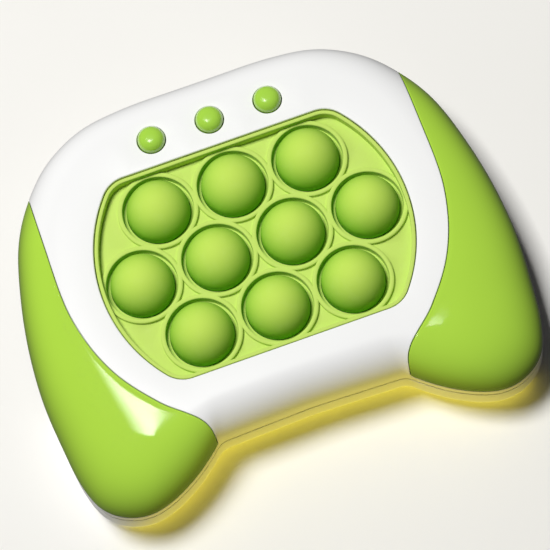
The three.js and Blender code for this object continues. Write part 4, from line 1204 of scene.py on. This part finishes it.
def dome_tree(material):
    """A hollow dome on a short skirt, turned round its axis."""
    g = Grown("Bubble dome", {"Sides": WHOLE, "Radius": FLOAT, "Height": FLOAT, "Wall": FLOAT,
                              "Skirt": FLOAT, "Base": PLACE})
    size = {"Size X": 1.0, "Size Y": 1.0, "Vertices Y": DOME_LINE_POINTS, "Vertices X": g.input("Sides") + 1}
    grid = g.add("GeometryNodeMeshGrid", {}, size)
    where = g.add("GeometryNodeInputPosition")
    x, y = (g.add("ShaderNodeSeparateXYZ", {}, {0: where}, output=k) for k in (0, 1))
    turn, along = (x + 0.5) * (2 * math.pi), y + 0.5
    radius, height, wall, skirt = (g.input(n) for n in ("Radius", "Height", "Wall", "Skirt"))
    inner = (along * (1 / EDGE_IN)).clamped() * (math.pi / 2)
    outer = ((1 - along) * (1 / EDGE_IN)).clamped() * (math.pi / 2)
    inside, outside = (radius - wall) * inner.math("SINE", inner), radius * outer.math("SINE", outer)
    across = ((along - EDGE_START) * (1 / (EDGE_END - EDGE_START))).clamped()
    reach = inside + (outside - inside) * across
    drop = ((along - EDGE_IN).least(EDGE_OUT - along) * (1 / DROP_SHARE)).clamped()
    low = (height - wall) * inner.math("COSINE", inner)
    rise = low + height * outer.math("COSINE", outer) - skirt * drop
    place = g.add("ShaderNodeCombineXYZ", {}, {
        0: reach * turn.math("COSINE", turn), 1: reach * turn.math("SINE", turn), 2: rise})
    moved = g.add("ShaderNodeVectorMath", {"operation": "ADD"}, {0: place, 1: g.input("Base")})
    dome = g.add("GeometryNodeSetPosition", {}, {"Geometry": grid, "Position": moved})
    g.close(dome, material)
    return g


def bubble_domes(material):
    """One dome for each bubble, grown by one tree."""
    tree = dome_tree(material)
    domes = []
    for name, centre in zip(BUBBLE_NAMES, BUBBLE_CENTRES):
        base = (centre[0] * MM, centre[1] * MM, PAD_Z * MM)
        dome = tree.run(
            f"{name}_dome", base=base, sides=sizes().bubble_sides, radius=BUBBLE_RADIUS * MM,
            height=(BUBBLE_TOP - PAD_Z) * MM, wall=sizes().bubble_wall,
            skirt=BUBBLE_RADIUS * SKIRT_SHARE * MM)
        domes.append(dome)
    return domes


# Radii of a stem's foot and head and of a button's flange, with heights over the foot or under the top
STEM_FOOT = [(0, 0), (2.1, 0), (2.4, 0.1), (2.5, 0.4)]
STEM_HEAD = [(2.6, 2.4), (3.0, 1.2), (4.0, 0.4), (4.0, 0), (0, 0)]
STEM_BELOW_CROWN = 1.2
STEM_SIDES = 40
PLUNGER_RADIUS, PLUNGER_EDGE = 2, 0.3
BUTTON_FLANGE = [(5.6, 1.2), (5.8, 1), (5.8, 0.2), (5.6, 0)]
BUTTON_CROWN_POINTS = 25


def bubble_stem(name, centre):
    """The post under a bubble's crown that presses its switch."""
    shape = Shape()
    high = BUBBLE_TOP - STEM_BELOW_CROWN
    profile = [(radius, STEM_LOW + up) for radius, up in STEM_FOOT]
    profile += [(radius, high - down) for radius, down in STEM_HEAD]
    shape.turned(profile, centre, STEM_SIDES)
    return shape.make(f"{name}_stem")


def push_button(name, centre):
    """A domed button with its flange under the face and its plunger."""
    shape = Shape()
    low, high = BUTTON_LOW[2], BUTTON_HIGH[2]
    profile = [(0, low), (PLUNGER_RADIUS - PLUNGER_EDGE, low), (PLUNGER_RADIUS, low + PLUNGER_EDGE)]
    profile.append((PLUNGER_RADIUS, FLANGE_TOP - BUTTON_FLANGE[0][1]))
    profile += [(radius, FLANGE_TOP - down) for radius, down in BUTTON_FLANGE]
    profile.append((BUTTON_RADIUS, FLANGE_TOP))
    for t in np.linspace(0, math.pi / 2, BUTTON_CROWN_POINTS)[:-1]:
        profile.append((BUTTON_RADIUS * math.cos(t), FACE + (high - FACE) * math.sqrt(1 - math.cos(t) ** 3)))
    profile.append((0, high))
    shape.turned(profile, centre, BUTTON_SIDES)
    return shape.make(f"{name}_cap", smooth_angle=50)


# A screw head's radius and height, on the casing and on the door, and the cross cut into it
CASING_HEAD, DOOR_HEAD = (3.0, 1.5), (2.5, 1.2)
HEAD_SIDES, SHANK_SIDES = 40, 24
SHANK_RADIUS = 1.2
HEAD_SHARE = 0.9
SLOT_LENGTH, SLOT_WIDTH, SLOT_HEIGHT = 1.15, 0.27, 1.3
SLOT_TURN = 0.4


def screw_tree(material):
    """A pan-head screw with a cross recess, set head down on each point."""
    g = Grown("Cross screw", {"Head Radius": FLOAT, "Head Height": FLOAT, "Shank Radius": FLOAT,
                              "Shank Length": FLOAT})
    radius, height = g.input("Head Radius"), g.input("Head Height")
    shank, length = g.input("Shank Radius"), g.input("Shank Length")
    head = g.add("GeometryNodeMeshCylinder", {"fill_type": "NGON"}, {
        "Vertices": HEAD_SIDES, "Side Segments": 1, "Radius": radius, "Depth": height})
    half = g.add("ShaderNodeCombineXYZ", {}, {2: height * 0.5})
    head = g.add("GeometryNodeTransform", {}, {"Geometry": head, "Translation": half})
    slot_size = g.add("ShaderNodeCombineXYZ", {}, {
        0: radius * SLOT_LENGTH, 1: radius * SLOT_WIDTH, 2: height * SLOT_HEIGHT})
    slots = []
    for turn in (SLOT_TURN, SLOT_TURN + math.pi / 2):
        bar = g.add("GeometryNodeMeshCube", {}, {"Size": slot_size})
        slots.append(g.add("GeometryNodeTransform", {}, {"Geometry": bar, "Rotation": (0, 0, turn)}))
    cut = g.add("GeometryNodeMeshBoolean", {"operation": "DIFFERENCE", "solver": "EXACT"}, {"Mesh 1": head})
    for bar in slots:
        g.tree.links.new(bar.socket, cut.socket.node.inputs["Mesh 2"])
    rod = g.add("GeometryNodeMeshCylinder", {"fill_type": "NGON"}, {
        "Vertices": SHANK_SIDES, "Side Segments": 1, "Radius": shank, "Depth": length})
    up = g.add("ShaderNodeCombineXYZ", {}, {2: height * HEAD_SHARE + length * 0.5})
    rod = g.add("GeometryNodeTransform", {}, {"Geometry": rod, "Translation": up})
    whole = g.add("GeometryNodeJoinGeometry")
    for piece in (cut, rod):
        g.tree.links.new(piece.socket, whole.socket.node.inputs[0])
    points = g.add("GeometryNodeMeshToPoints", {}, {"Mesh": Value(g, g.start.outputs[0])})
    placed = g.add("GeometryNodeInstanceOnPoints", {}, {"Points": points, "Instance": whole})
    g.close(placed, material)
    return g


# Finishes


class Finish(Nodes):
    """A material: one Principled surface whose changing inputs are worked out from Object coordinates."""

    def __init__(self, name):
        self.material = bpy.data.materials.new(name)
        self.material.use_nodes = True
        super().__init__(self.material.node_tree)
        self.tree.nodes.clear()
        self.output = self.tree.nodes.new("ShaderNodeOutputMaterial")
        self.where = self.add("ShaderNodeTexCoord", output="Object")

    def noise(self, size, detail=2.0, roughness=0.5, stretch=None):
        """Noise from 0 to 1 with features of a size in millimetres."""
        where = self.where
        if stretch:
            where = self.add("ShaderNodeMapping", {}, {"Vector": where, "Scale": stretch})
        return self.add("ShaderNodeTexNoise", {}, {
            "Vector": where, "Scale": 1 / (size * MM), "Detail": detail, "Roughness": roughness})

    def part(self, axis):
        """One of a place's X, Y and Z."""
        return self.add("ShaderNodeSeparateXYZ", {}, {0: self.where}, output=axis)

    def blend(self, factor, first, second):
        """A mix of two colours, whose sockets are 6 and 7 on a Mix node."""
        return self.add("ShaderNodeMix", {"data_type": "RGBA"}, {0: factor, 6: first, 7: second}, output=2)

    def bump(self, height, depth, strength=1.0, under=None):
        """A bump of a depth in millimetres, over another one."""
        inputs = {"Height": height, "Distance": depth * MM, "Strength": strength}
        if under:
            inputs["Normal"] = under
        return self.add("ShaderNodeBump", {}, inputs)

    def surface(self, **inputs):
        """Ends the material with a Principled surface, whose sockets are given by name."""
        named = {key.replace("_", " ").title().replace("Ior", "IOR"): value for key, value in inputs.items()}
        shader = self.add("ShaderNodeBsdfPrincipled", {}, named)
        self.tree.links.new(shader.socket, self.output.inputs[0])
        return self.material


def shade(colour, factor):
    """A colour made darker or lighter, with its alpha."""
    return tuple(min(1, c * factor) for c in colour[:3]) + (1,)


def moulded(name, colour, rough, grain=0.5, depth=0.004, vary=0.03, coat=0.0, coat_rough=0.035,
            specular=0.5, texture=None, low=1.0):
    """Moulded plastic: faint flow tones, uneven polish and a fine skin texture, with painted shade that
    darkens it where it lies low.
    """
    f = Finish(name)
    flow = f.noise(28, 3)
    tone = f.blend(flow, shade(colour, 1 - vary), shade(colour, 1 + vary))
    # Painted shade: with low under 1 the colour darkens from the face down to the lip, standing in for the
    # shade on edges turned from the light.
    if low < 1:
        rise = f.part("Z").ramp(LIP_TOP * MM, (FACE - 1) * MM, smooth=True)
        tone = f.blend(rise, shade(colour, low), tone)
    polish = f.noise(6, 4, 0.6)
    scuff = f.noise(0.9, 3, 0.7, stretch=(1, 6, 1)).ramp(0.62, 0.8)
    roughness = rough * (0.9 + polish * 0.2) + scuff * 0.05
    skin = f.bump(f.noise(grain, 3), depth, 0.6)
    normal = f.bump(f.noise(9, 1), 0.02, 0.25, under=skin)
    if texture:
        size, dent = texture
        normal = f.bump(f.noise(size, 4, 0.6), dent, 0.7, under=normal)
    return f.surface(base_color=tone, roughness=roughness, normal=normal,
                     specular_ior_level=specular, coat_weight=coat, coat_roughness=coat_rough)


# The heights over which the back's fine texture runs out
TEXTURE_END = (7.5, 9.5)


def back_plastic(colour):
    """White plastic that is glossy at the wall and finely textured below."""
    f = Finish("back_shell_plastic")
    low = f.part("Z").ramp(TEXTURE_END[0] * MM, TEXTURE_END[1] * MM, 1.0, 0.0)
    tone = f.blend(f.noise(25, 3), shade(colour, 0.97), shade(colour, 1.02))
    grain = f.noise(0.35, 4, 0.65)
    tone = f.blend(low * grain.ramp(0.55, 0.75, 0.0, 0.25), tone, shade(colour, 0.86))
    roughness = 0.3 + low * 0.22 + f.noise(5, 3) * 0.06
    normal = f.bump(grain * low, 0.05, 0.8, under=f.bump(f.noise(8, 1), 0.02, 0.2))
    return f.surface(base_color=tone, roughness=roughness, normal=normal)


def silicone(name, colour, rough, speck=0.25, dust=0.05, deep=None):
    """Soft rubber: satin, finely grained, with a little pale dust, and with painted shade that darkens it low
    on a dome.
    """
    f = Finish(name)
    tone = f.blend(f.noise(12, 3), shade(colour, 0.97), shade(colour, 1.03))
    # Painted shade: deep is the colour at a dome's foot, blending to the own colour at its crown, standing in
    # for the shade on its lower sides.
    if deep:
        rise = f.part("Z").ramp((PAD_Z - 1) * MM, BUBBLE_TOP * MM)
        tone = f.blend(rise, shade(deep, 1), tone)
    grain = f.noise(speck, 3, 0.6)
    pale = f.noise(4, 4, 0.7).ramp(0.5, 0.8, 0.0, dust)
    tone = f.blend(pale, tone, shade(tuple(0.5 * c + 0.45 for c in colour[:3]), 1))
    roughness = rough + (f.noise(3, 3) - 0.5) * 0.1 + (grain - 0.5) * 0.06
    normal = f.bump(grain, 0.012, 0.7, under=f.bump(f.noise(3.5, 2), 0.02, 0.3))
    return f.surface(base_color=tone, roughness=roughness, normal=normal, specular_ior_level=0.1)


def circuit_board(colour):
    """Green solder mask over copper tracks, with bright pads."""
    f = Finish("circuit_board")
    cells = f.add("ShaderNodeTexBrick", {"offset": 0.5, "squash": 1.0}, {
        "Vector": f.where, "Scale": 220.0, "Mortar Size": 0.06, "Mortar Smooth": 0.1}, output="Fac")
    breaks = f.noise(7, 1).ramp(0.45, 0.5)
    track = cells * breaks
    dots = f.add("ShaderNodeTexVoronoi", {"feature": "F1"}, {"Vector": f.where, "Scale": 260.0})
    pad = dots.ramp(0.14, 0.17, 1.0, 0.0) * f.noise(9, 1).ramp(0.5, 0.55)
    tone = f.blend(track, (*colour[:3], 1), shade(tuple(c * 1.7 + 0.01 for c in colour[:3]), 1))
    tone = f.blend(pad, tone, (0.62, 0.6, 0.55, 1))
    normal = f.bump((track * 0.5).most(pad), 0.03, 0.8)
    return f.surface(base_color=tone, roughness=0.35 + f.noise(2, 2) * 0.1, metallic=pad * 0.8, normal=normal)


def brushed_metal(name, colour):
    """Steel with fine lines and faint stains."""
    f = Finish(name)
    lines = f.noise(0.4, 3, 0.6, stretch=(1, 20, 1))
    tone = f.blend(lines, shade(colour, 0.85), shade(colour, 1.1))
    stain = f.noise(5, 3).ramp(0.55, 0.8, 0.0, 0.12)
    return f.surface(base_color=tone, metallic=1.0, roughness=0.3 + lines * 0.12 + stain,
                     normal=f.bump(lines, 0.01, 0.5))


def cone_paper():
    """Black pressed paper with fibres."""
    f = Finish("cone_paper")
    fibre = f.noise(0.5, 5, 0.75, stretch=(1, 4, 1)) + f.noise(0.5, 5, 0.75, stretch=(4, 1, 1))
    tone = f.blend(fibre.ramp(0.8, 1.3), (0.025, 0.025, 0.027, 1), (0.09, 0.088, 0.085, 1))
    return f.surface(base_color=tone, roughness=0.85, normal=f.bump(fibre, 0.05, 0.6))


# Where the band starts and the sleeve ends, from the middle of a cell
BAND_EDGE = (8.5, 8.7)
SLEEVE_END = (21.3, 21.5)


def battery_wrap():
    """Plain two-tone battery sleeve: a dark green body and a copper-coloured band towards one end."""
    f = Finish("battery_sleeve")
    along = f.part("X")
    band = along.ramp(BAND_EDGE[0] * MM, BAND_EDGE[1] * MM)
    tone = f.blend(band, (0.03, 0.16, 0.07, 1), (0.55, 0.3, 0.12, 1))
    ends = along.math("ABSOLUTE", along).ramp(SLEEVE_END[0] * MM, SLEEVE_END[1] * MM)
    tone = f.blend(ends, tone, (0.6, 0.6, 0.58, 1))
    wrinkle = f.noise(1.5, 3, 0.6, stretch=(0.3, 1, 1))
    return f.surface(
        base_color=tone, metallic=0.35 + ends * 0.6, roughness=0.28 + wrinkle * 0.1,
        normal=f.bump(wrinkle, 0.02, 0.4))


def finish_for(slot):
    """The finish of each slot, made once."""
    name = "pop_" + slot
    known = bpy.data.materials.get(name)
    if known:
        return known
    c = colours()
    makers = {
        "shell_white": lambda: moulded(name, c.shell, 0.3, vary=0.012),
        # low=0.42 paints shade onto the grip covers, darker towards their lower edges.
        "grip_green": lambda: moulded(
            name, c.grip, 0.4, grain=0.7, depth=0.002, coat=0.45, coat_rough=0.055, specular=0.05, low=0.42),
        "pad_silicone": lambda: silicone(name, c.pad, 0.5),
        # The deep colour is painted shade at the feet of the bubble domes.
        "bubble_silicone": lambda: silicone(
            name, c.bubble, 0.56, speck=0.3, dust=0.04, deep=(0.13, 0.47, 0.004)),
        "button_green": lambda: moulded(
            name, c.button, 0.18, grain=0.4, depth=0.002, coat=0.9, coat_rough=0.24),
        "carrier_white": lambda: moulded(name, (0.78, 0.78, 0.75), 0.45, texture=(0.5, 0.03)),
        "board_green": lambda: circuit_board((0.02, 0.17, 0.06)),
        "black_plastic": lambda: moulded(name, (0.02, 0.02, 0.022), 0.5, vary=0.2, texture=(0.4, 0.03)),
        "speaker_paper": cone_paper,
        "steel": lambda: brushed_metal(name, (0.56, 0.57, 0.58)),
        "battery_wrap": battery_wrap,
        "lead_cover": lambda: moulded(name, (0.4, 0.03, 0.03), 0.4, vary=0.08),
    }
    material = makers[slot]()
    material.name = name
    return material


# Stage

# The photograph's view, fitted to the grid of bubbles: degrees, metres, and millimetres for lens and sensor
CAMERA_AZIMUTH, CAMERA_ELEVATION, CAMERA_ROLL = -8.26905, 70.65558, -11.56659
CAMERA_TARGET = (0.00275, -0.007789, 0.0266)
CAMERA_DISTANCE = 0.976661
CAMERA_LENS, CAMERA_SENSOR = 196.3636, 36
FLOOR_RADII = (3000, 900, 300, 100)
FLOOR_GAP = 0.02
CLEAR_FROM, CLEAR_TO = 0.4, 1.0


def lamp(name, size, place, towards, power, colour=(1, 1, 1), glossy=True, fade=0.0, turn=0):
    """A rectangular lamp that faces a target, in metres, watts and degrees, and may fade across its width."""
    data = bpy.data.lights.new(name, "AREA")
    data.shape, data.size, data.size_y = "RECTANGLE", *size
    data.energy, data.color = power, colour
    if fade:
        data.use_nodes = True
        data.node_tree.nodes.clear()
        n = Nodes(data.node_tree)
        place_on_lamp = n.add("ShaderNodeNewGeometry", output="Parametric")
        along = n.add("ShaderNodeSeparateXYZ", {}, {0: place_on_lamp}, output="X")
        light = n.add("ShaderNodeEmission", {}, {"Strength": along.ramp(0.0, fade, smooth=True)})
        output = data.node_tree.nodes.new("ShaderNodeOutputLight")
        data.node_tree.links.new(light.socket, output.inputs[0])
    made = bpy.data.objects.new(name, data)
    back = (Vector(place) - Vector(towards)).normalized()
    across = Vector((0, 1, 0)).cross(back).normalized()
    turned = Matrix((across, back.cross(across), back)).transposed().to_4x4()
    made.matrix_world = Matrix.Translation(place) @ turned @ Matrix.Rotation(math.radians(turn), 4, "Z")
    made.visible_camera = False
    made.visible_glossy = glossy
    bpy.context.scene.collection.objects.link(made)


def photo_camera():
    """The camera with the photograph's view."""
    azimuth, elevation, roll = map(math.radians, (CAMERA_AZIMUTH, CAMERA_ELEVATION, CAMERA_ROLL))
    back = Vector((math.cos(elevation) * math.sin(azimuth), -math.cos(elevation) * math.cos(azimuth),
                   math.sin(elevation)))
    level_right = Vector((math.cos(azimuth), math.sin(azimuth), 0))
    right = level_right * math.cos(roll) + back.cross(level_right) * math.sin(roll)
    data = bpy.data.cameras.new("photo_camera")
    data.lens, data.sensor_width, data.sensor_fit = CAMERA_LENS, CAMERA_SENSOR, "HORIZONTAL"
    data.clip_start, data.clip_end = 0.05, 20
    camera = bpy.data.objects.new("photo_camera", data)
    turned = Matrix((right, back.cross(right), back)).transposed().to_4x4()
    camera.matrix_world = Matrix.Translation(Vector(CAMERA_TARGET) + back * CAMERA_DISTANCE) @ turned
    bpy.context.scene.collection.objects.link(camera)
    bpy.context.scene.camera = camera


def floor_finish():
    """Pale floor: pale to the camera, dimmer in the light it throws back, clear from below and far off."""
    f = Finish("pale_floor")
    colour = (*colours().floor, 1)
    tone = f.blend(f.noise(60, 3), shade(colour, 0.985), shade(colour, 1.01))
    looked_at, seen_through = (
        f.add("ShaderNodeLightPath", output=name) for name in ("Is Camera Ray", "Is Transmission Ray"))
    tone = f.blend(looked_at.most(seen_through), shade(colour, 0.2), tone)
    f.surface(base_color=tone, roughness=0.6, normal=f.bump(f.noise(1.2, 3), 0.02, 0.3))
    shader = f.output.inputs[0].links[0].from_socket
    clear = f.add("ShaderNodeBsdfTransparent")
    backfacing = f.add("ShaderNodeNewGeometry", output="Backfacing")
    distance = f.add("ShaderNodeVectorMath", {"operation": "LENGTH"}, {0: f.where}, output="Value")
    far = distance.ramp(CLEAR_FROM, CLEAR_TO, smooth=True)
    mixed = f.add("ShaderNodeMixShader", {}, {0: backfacing.most(far), 1: Value(f, shader), 2: clear})
    f.tree.links.new(mixed.socket, f.output.inputs[0])
    return f.material


def floor_disc():
    """A round floor just below the body."""
    shape = Shape()
    made = shape.rings([circle((0, 0), radius, -FLOOR_GAP, 96) for radius in FLOOR_RADII])
    shape.cap(made[-1], up=True)
    floor = shape.make("floor", closed=False)
    floor.data.materials.append(floor_finish())


def sky():
    """Soft surroundings: white to the camera, dim in reflections, and an even glow on the object."""
    world = bpy.data.worlds.new("studio")
    bpy.context.scene.world = world
    world.use_nodes = True
    world.node_tree.nodes.clear()
    n = Nodes(world.node_tree)
    looked_at, mirrored = (
        n.add("ShaderNodeLightPath", output=name) for name in ("Is Camera Ray", "Is Glossy Ray"))
    seen = n.add("ShaderNodeBackground", {}, {"Color": (1, 1, 1, 1), "Strength": 1.0})
    glossy = n.add("ShaderNodeBackground", {}, {"Color": (0.95, 0.97, 1, 1), "Strength": 0.15})
    glow = n.add("ShaderNodeBackground", {}, {"Color": (0.96, 0.98, 1, 1), "Strength": 0.025})
    first = n.add("ShaderNodeMixShader", {}, {0: mirrored, 1: glow, 2: glossy})
    last = n.add("ShaderNodeMixShader", {}, {0: looked_at, 1: first, 2: seen})
    output = world.node_tree.nodes.new("ShaderNodeOutputWorld")
    world.node_tree.links.new(last.socket, output.inputs[0])


def stage():
    """The view, surroundings, floor and lamps. The near and left sides are also lit from the table."""
    bpy.context.scene.view_settings.view_transform = "Standard"
    photo_camera()
    sky()
    floor_disc()
    lamp("key", size=(0.7, 0.7), place=(-0.58, 0.53, 2.04), towards=(0, 0, 0.02), power=46,
         colour=(1, 0.998, 0.99), glossy=False)
    lamp("window", size=(0.14, 0.145), place=(-0.139, 0.2385, 1), towards=(-0.139, 0.2385, 0), power=2.6,
         turn=-25, fade=1.0)
    lamp("glint", size=(0.01, 0.006), place=(0.1385, 0.256, 1), towards=(0.1385, 0.256, 0), power=0.01)
    lamp("side_bounce", size=(0.06, 0.1), place=(-0.104, -0.066, 0.0006), towards=(-0.104, -0.066, 1),
         power=0.017, colour=(1, 1, 0.97), glossy=False, turn=25)
    lamp("table_bounce", size=(0.142, 0.14), place=(0, -0.115, 0.0006), towards=(0, -0.115, 1),
         power=0.098, colour=(1, 0.83, 0.07), glossy=False)


# Operators


class POP_OT_front_shell(bpy.types.Operator):
    """Builds the white front shell with its window, button holes and lip"""

    bl_idname = "pop_game.front_shell"
    bl_label = "Front Shell"
    bl_options = {"REGISTER", "UNDO"}

    def execute(self, context):
        dress(front_shell(), finish_for("shell_white"), nodes=["front_shell"])
        return {"FINISHED"}


class POP_OT_grip_covers(bpy.types.Operator):
    """Builds the two glossy grip covers"""

    bl_idname = "pop_game.grip_covers"
    bl_label = "Grip Covers"
    bl_options = {"REGISTER", "UNDO"}

    def execute(self, context):
        for side, node in ((-1, "left_grip_cover"), (1, "right_grip_cover")):
            dress(grip_cover(side), finish_for("grip_green"), nodes=[node])
        return {"FINISHED"}


class POP_OT_back_shell(bpy.types.Operator):
    """Builds the back shell with its battery room, sound holes and screw recesses"""

    bl_idname = "pop_game.back_shell"
    bl_label = "Back Shell"
    bl_options = {"REGISTER", "UNDO"}

    def execute(self, context):
        dress(back_shell(), back_plastic(colours().shell), nodes=["back_shell"])
        return {"FINISHED"}


class POP_OT_battery_door(bpy.types.Operator):
    """Builds the battery door with its grip grooves"""

    bl_idname = "pop_game.battery_door"
    bl_label = "Battery Door"
    bl_options = {"REGISTER", "UNDO"}

    def execute(self, context):
        finish = bpy.data.materials.get("back_shell_plastic") or back_plastic(colours().shell)
        dress(battery_door(), finish, body="battery_door", nodes=["battery_door"])
        return {"FINISHED"}


class POP_OT_bubble_pad(bpy.types.Operator):
    """Builds the soft pad with a ring and a recess round each bubble"""

    bl_idname = "pop_game.bubble_pad"
    bl_label = "Bubble Pad"
    bl_options = {"REGISTER", "UNDO"}

    def execute(self, context):
        dress(bubble_pad(), finish_for("pad_silicone"), nodes=["bubble_pad"])
        return {"FINISHED"}


class POP_OT_bubbles(bpy.types.Operator):
    """Builds the ten bubble domes and the stems that press their switches"""

    bl_idname = "pop_game.bubbles"
    bl_label = "Bubbles"
    bl_options = {"REGISTER", "UNDO"}

    def execute(self, context):
        finish = finish_for("bubble_silicone")
        for name, centre, dome in zip(BUBBLE_NAMES, BUBBLE_CENTRES, bubble_domes(finish)):
            dress(dome, finish, body=None, nodes=[name])
            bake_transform(dome)
            dress(bubble_stem(name, centre), finish, body=name)
        return {"FINISHED"}


class POP_OT_buttons(bpy.types.Operator):
    """Builds the three round buttons above the pad"""

    bl_idname = "pop_game.buttons"
    bl_label = "Buttons"
    bl_options = {"REGISTER", "UNDO"}

    def execute(self, context):
        for name, centre in zip(BUTTON_NAMES, BUTTON_CENTRES):
            finish = finish_for("button_green")
            dress(push_button(name, centre), finish, body=name, nodes=[name])
        return {"FINISHED"}


class POP_OT_screws(bpy.types.Operator):
    """Builds the cross-head screws of the casing and the battery door"""

    bl_idname = "pop_game.screws"
    bl_label = "Screws"
    bl_options = {"REGISTER", "UNDO"}

    def execute(self, context):
        tree = screw_tree(finish_for("steel"))
        groups = (
            ("casing_screws", "casing", SCREW_NAMES, *CASING_HEAD),
            ("door_screw_head", "battery_door", ["door_screw"], *DOOR_HEAD),
        )
        for name, body, nodes, radius, height in groups:
            boxes = [span(node) for node in nodes]
            points = [((lo[0] + hi[0]) / 2 * MM, (lo[1] + hi[1]) / 2 * MM, lo[2] * MM) for lo, hi in boxes]
            length = boxes[0][1][2] - boxes[0][0][2] - height * HEAD_SHARE
            screws = tree.run(name, points, head_radius=radius * MM, head_height=height * MM,
                              shank_radius=SHANK_RADIUS * MM, shank_length=length * MM)
            dress(screws, finish_for("steel"), body=body, nodes=nodes)
        return {"FINISHED"}


class POP_OT_inner_parts(bpy.types.Operator):
    """Gives the boards, switches, speaker, cells and leads inside their finishes"""

    bl_idname = "pop_game.inner_parts"
    bl_label = "Inner Parts"
    bl_options = {"REGISTER", "UNDO"}

    def execute(self, context):
        for entry in frame["record"]["subparts"]:
            part = frame["nodes"][entry["node"]]
            if not part.hide_render:
                part.data.materials.clear()
                part.data.materials.append(finish_for(entry["material_slot"]))
        return {"FINISHED"}


class POP_OT_stage(bpy.types.Operator):
    """Sets up the floor, the lamps and the camera"""

    bl_idname = "pop_game.stage"
    bl_label = "Stage"
    bl_options = {"REGISTER", "UNDO"}

    def execute(self, context):
        stage()
        return {"FINISHED"}


PIECES = (
    POP_OT_front_shell, POP_OT_grip_covers, POP_OT_back_shell, POP_OT_battery_door, POP_OT_bubble_pad,
    POP_OT_bubbles, POP_OT_buttons, POP_OT_screws, POP_OT_inner_parts, POP_OT_stage,
)


class POP_PT_panel(bpy.types.Panel):
    """Lists the game's sizes, colours and pieces"""

    bl_label = "Bubble Pop Game"
    bl_idname = "POP_PT_panel"
    bl_space_type = "VIEW_3D"
    bl_region_type = "UI"
    bl_category = "Pop Game"

    def draw(self, context):
        layout = self.layout
        for group in (context.scene.pop_game_sizes, context.scene.pop_game_colours):
            for name in group.__annotations__:
                layout.prop(group, name)
        for piece in PIECES:
            layout.operator(piece.bl_idname)


CLASSES = (GameSizes, GameColours, *PIECES, POP_PT_panel)


def register():
    for cls in CLASSES:
        bpy.utils.register_class(cls)
    bpy.types.Scene.pop_game_sizes = bpy.props.PointerProperty(type=GameSizes)
    bpy.types.Scene.pop_game_colours = bpy.props.PointerProperty(type=GameColours)


def unregister():
    del bpy.types.Scene.pop_game_colours
    del bpy.types.Scene.pop_game_sizes
    for cls in reversed(CLASSES):
        bpy.utils.unregister_class(cls)


def main():
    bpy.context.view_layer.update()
    register()
    for piece in PIECES:
        group, name = piece.bl_idname.split(".")
        getattr(getattr(bpy.ops, group), name)()


if __name__ == "__main__":
    main()
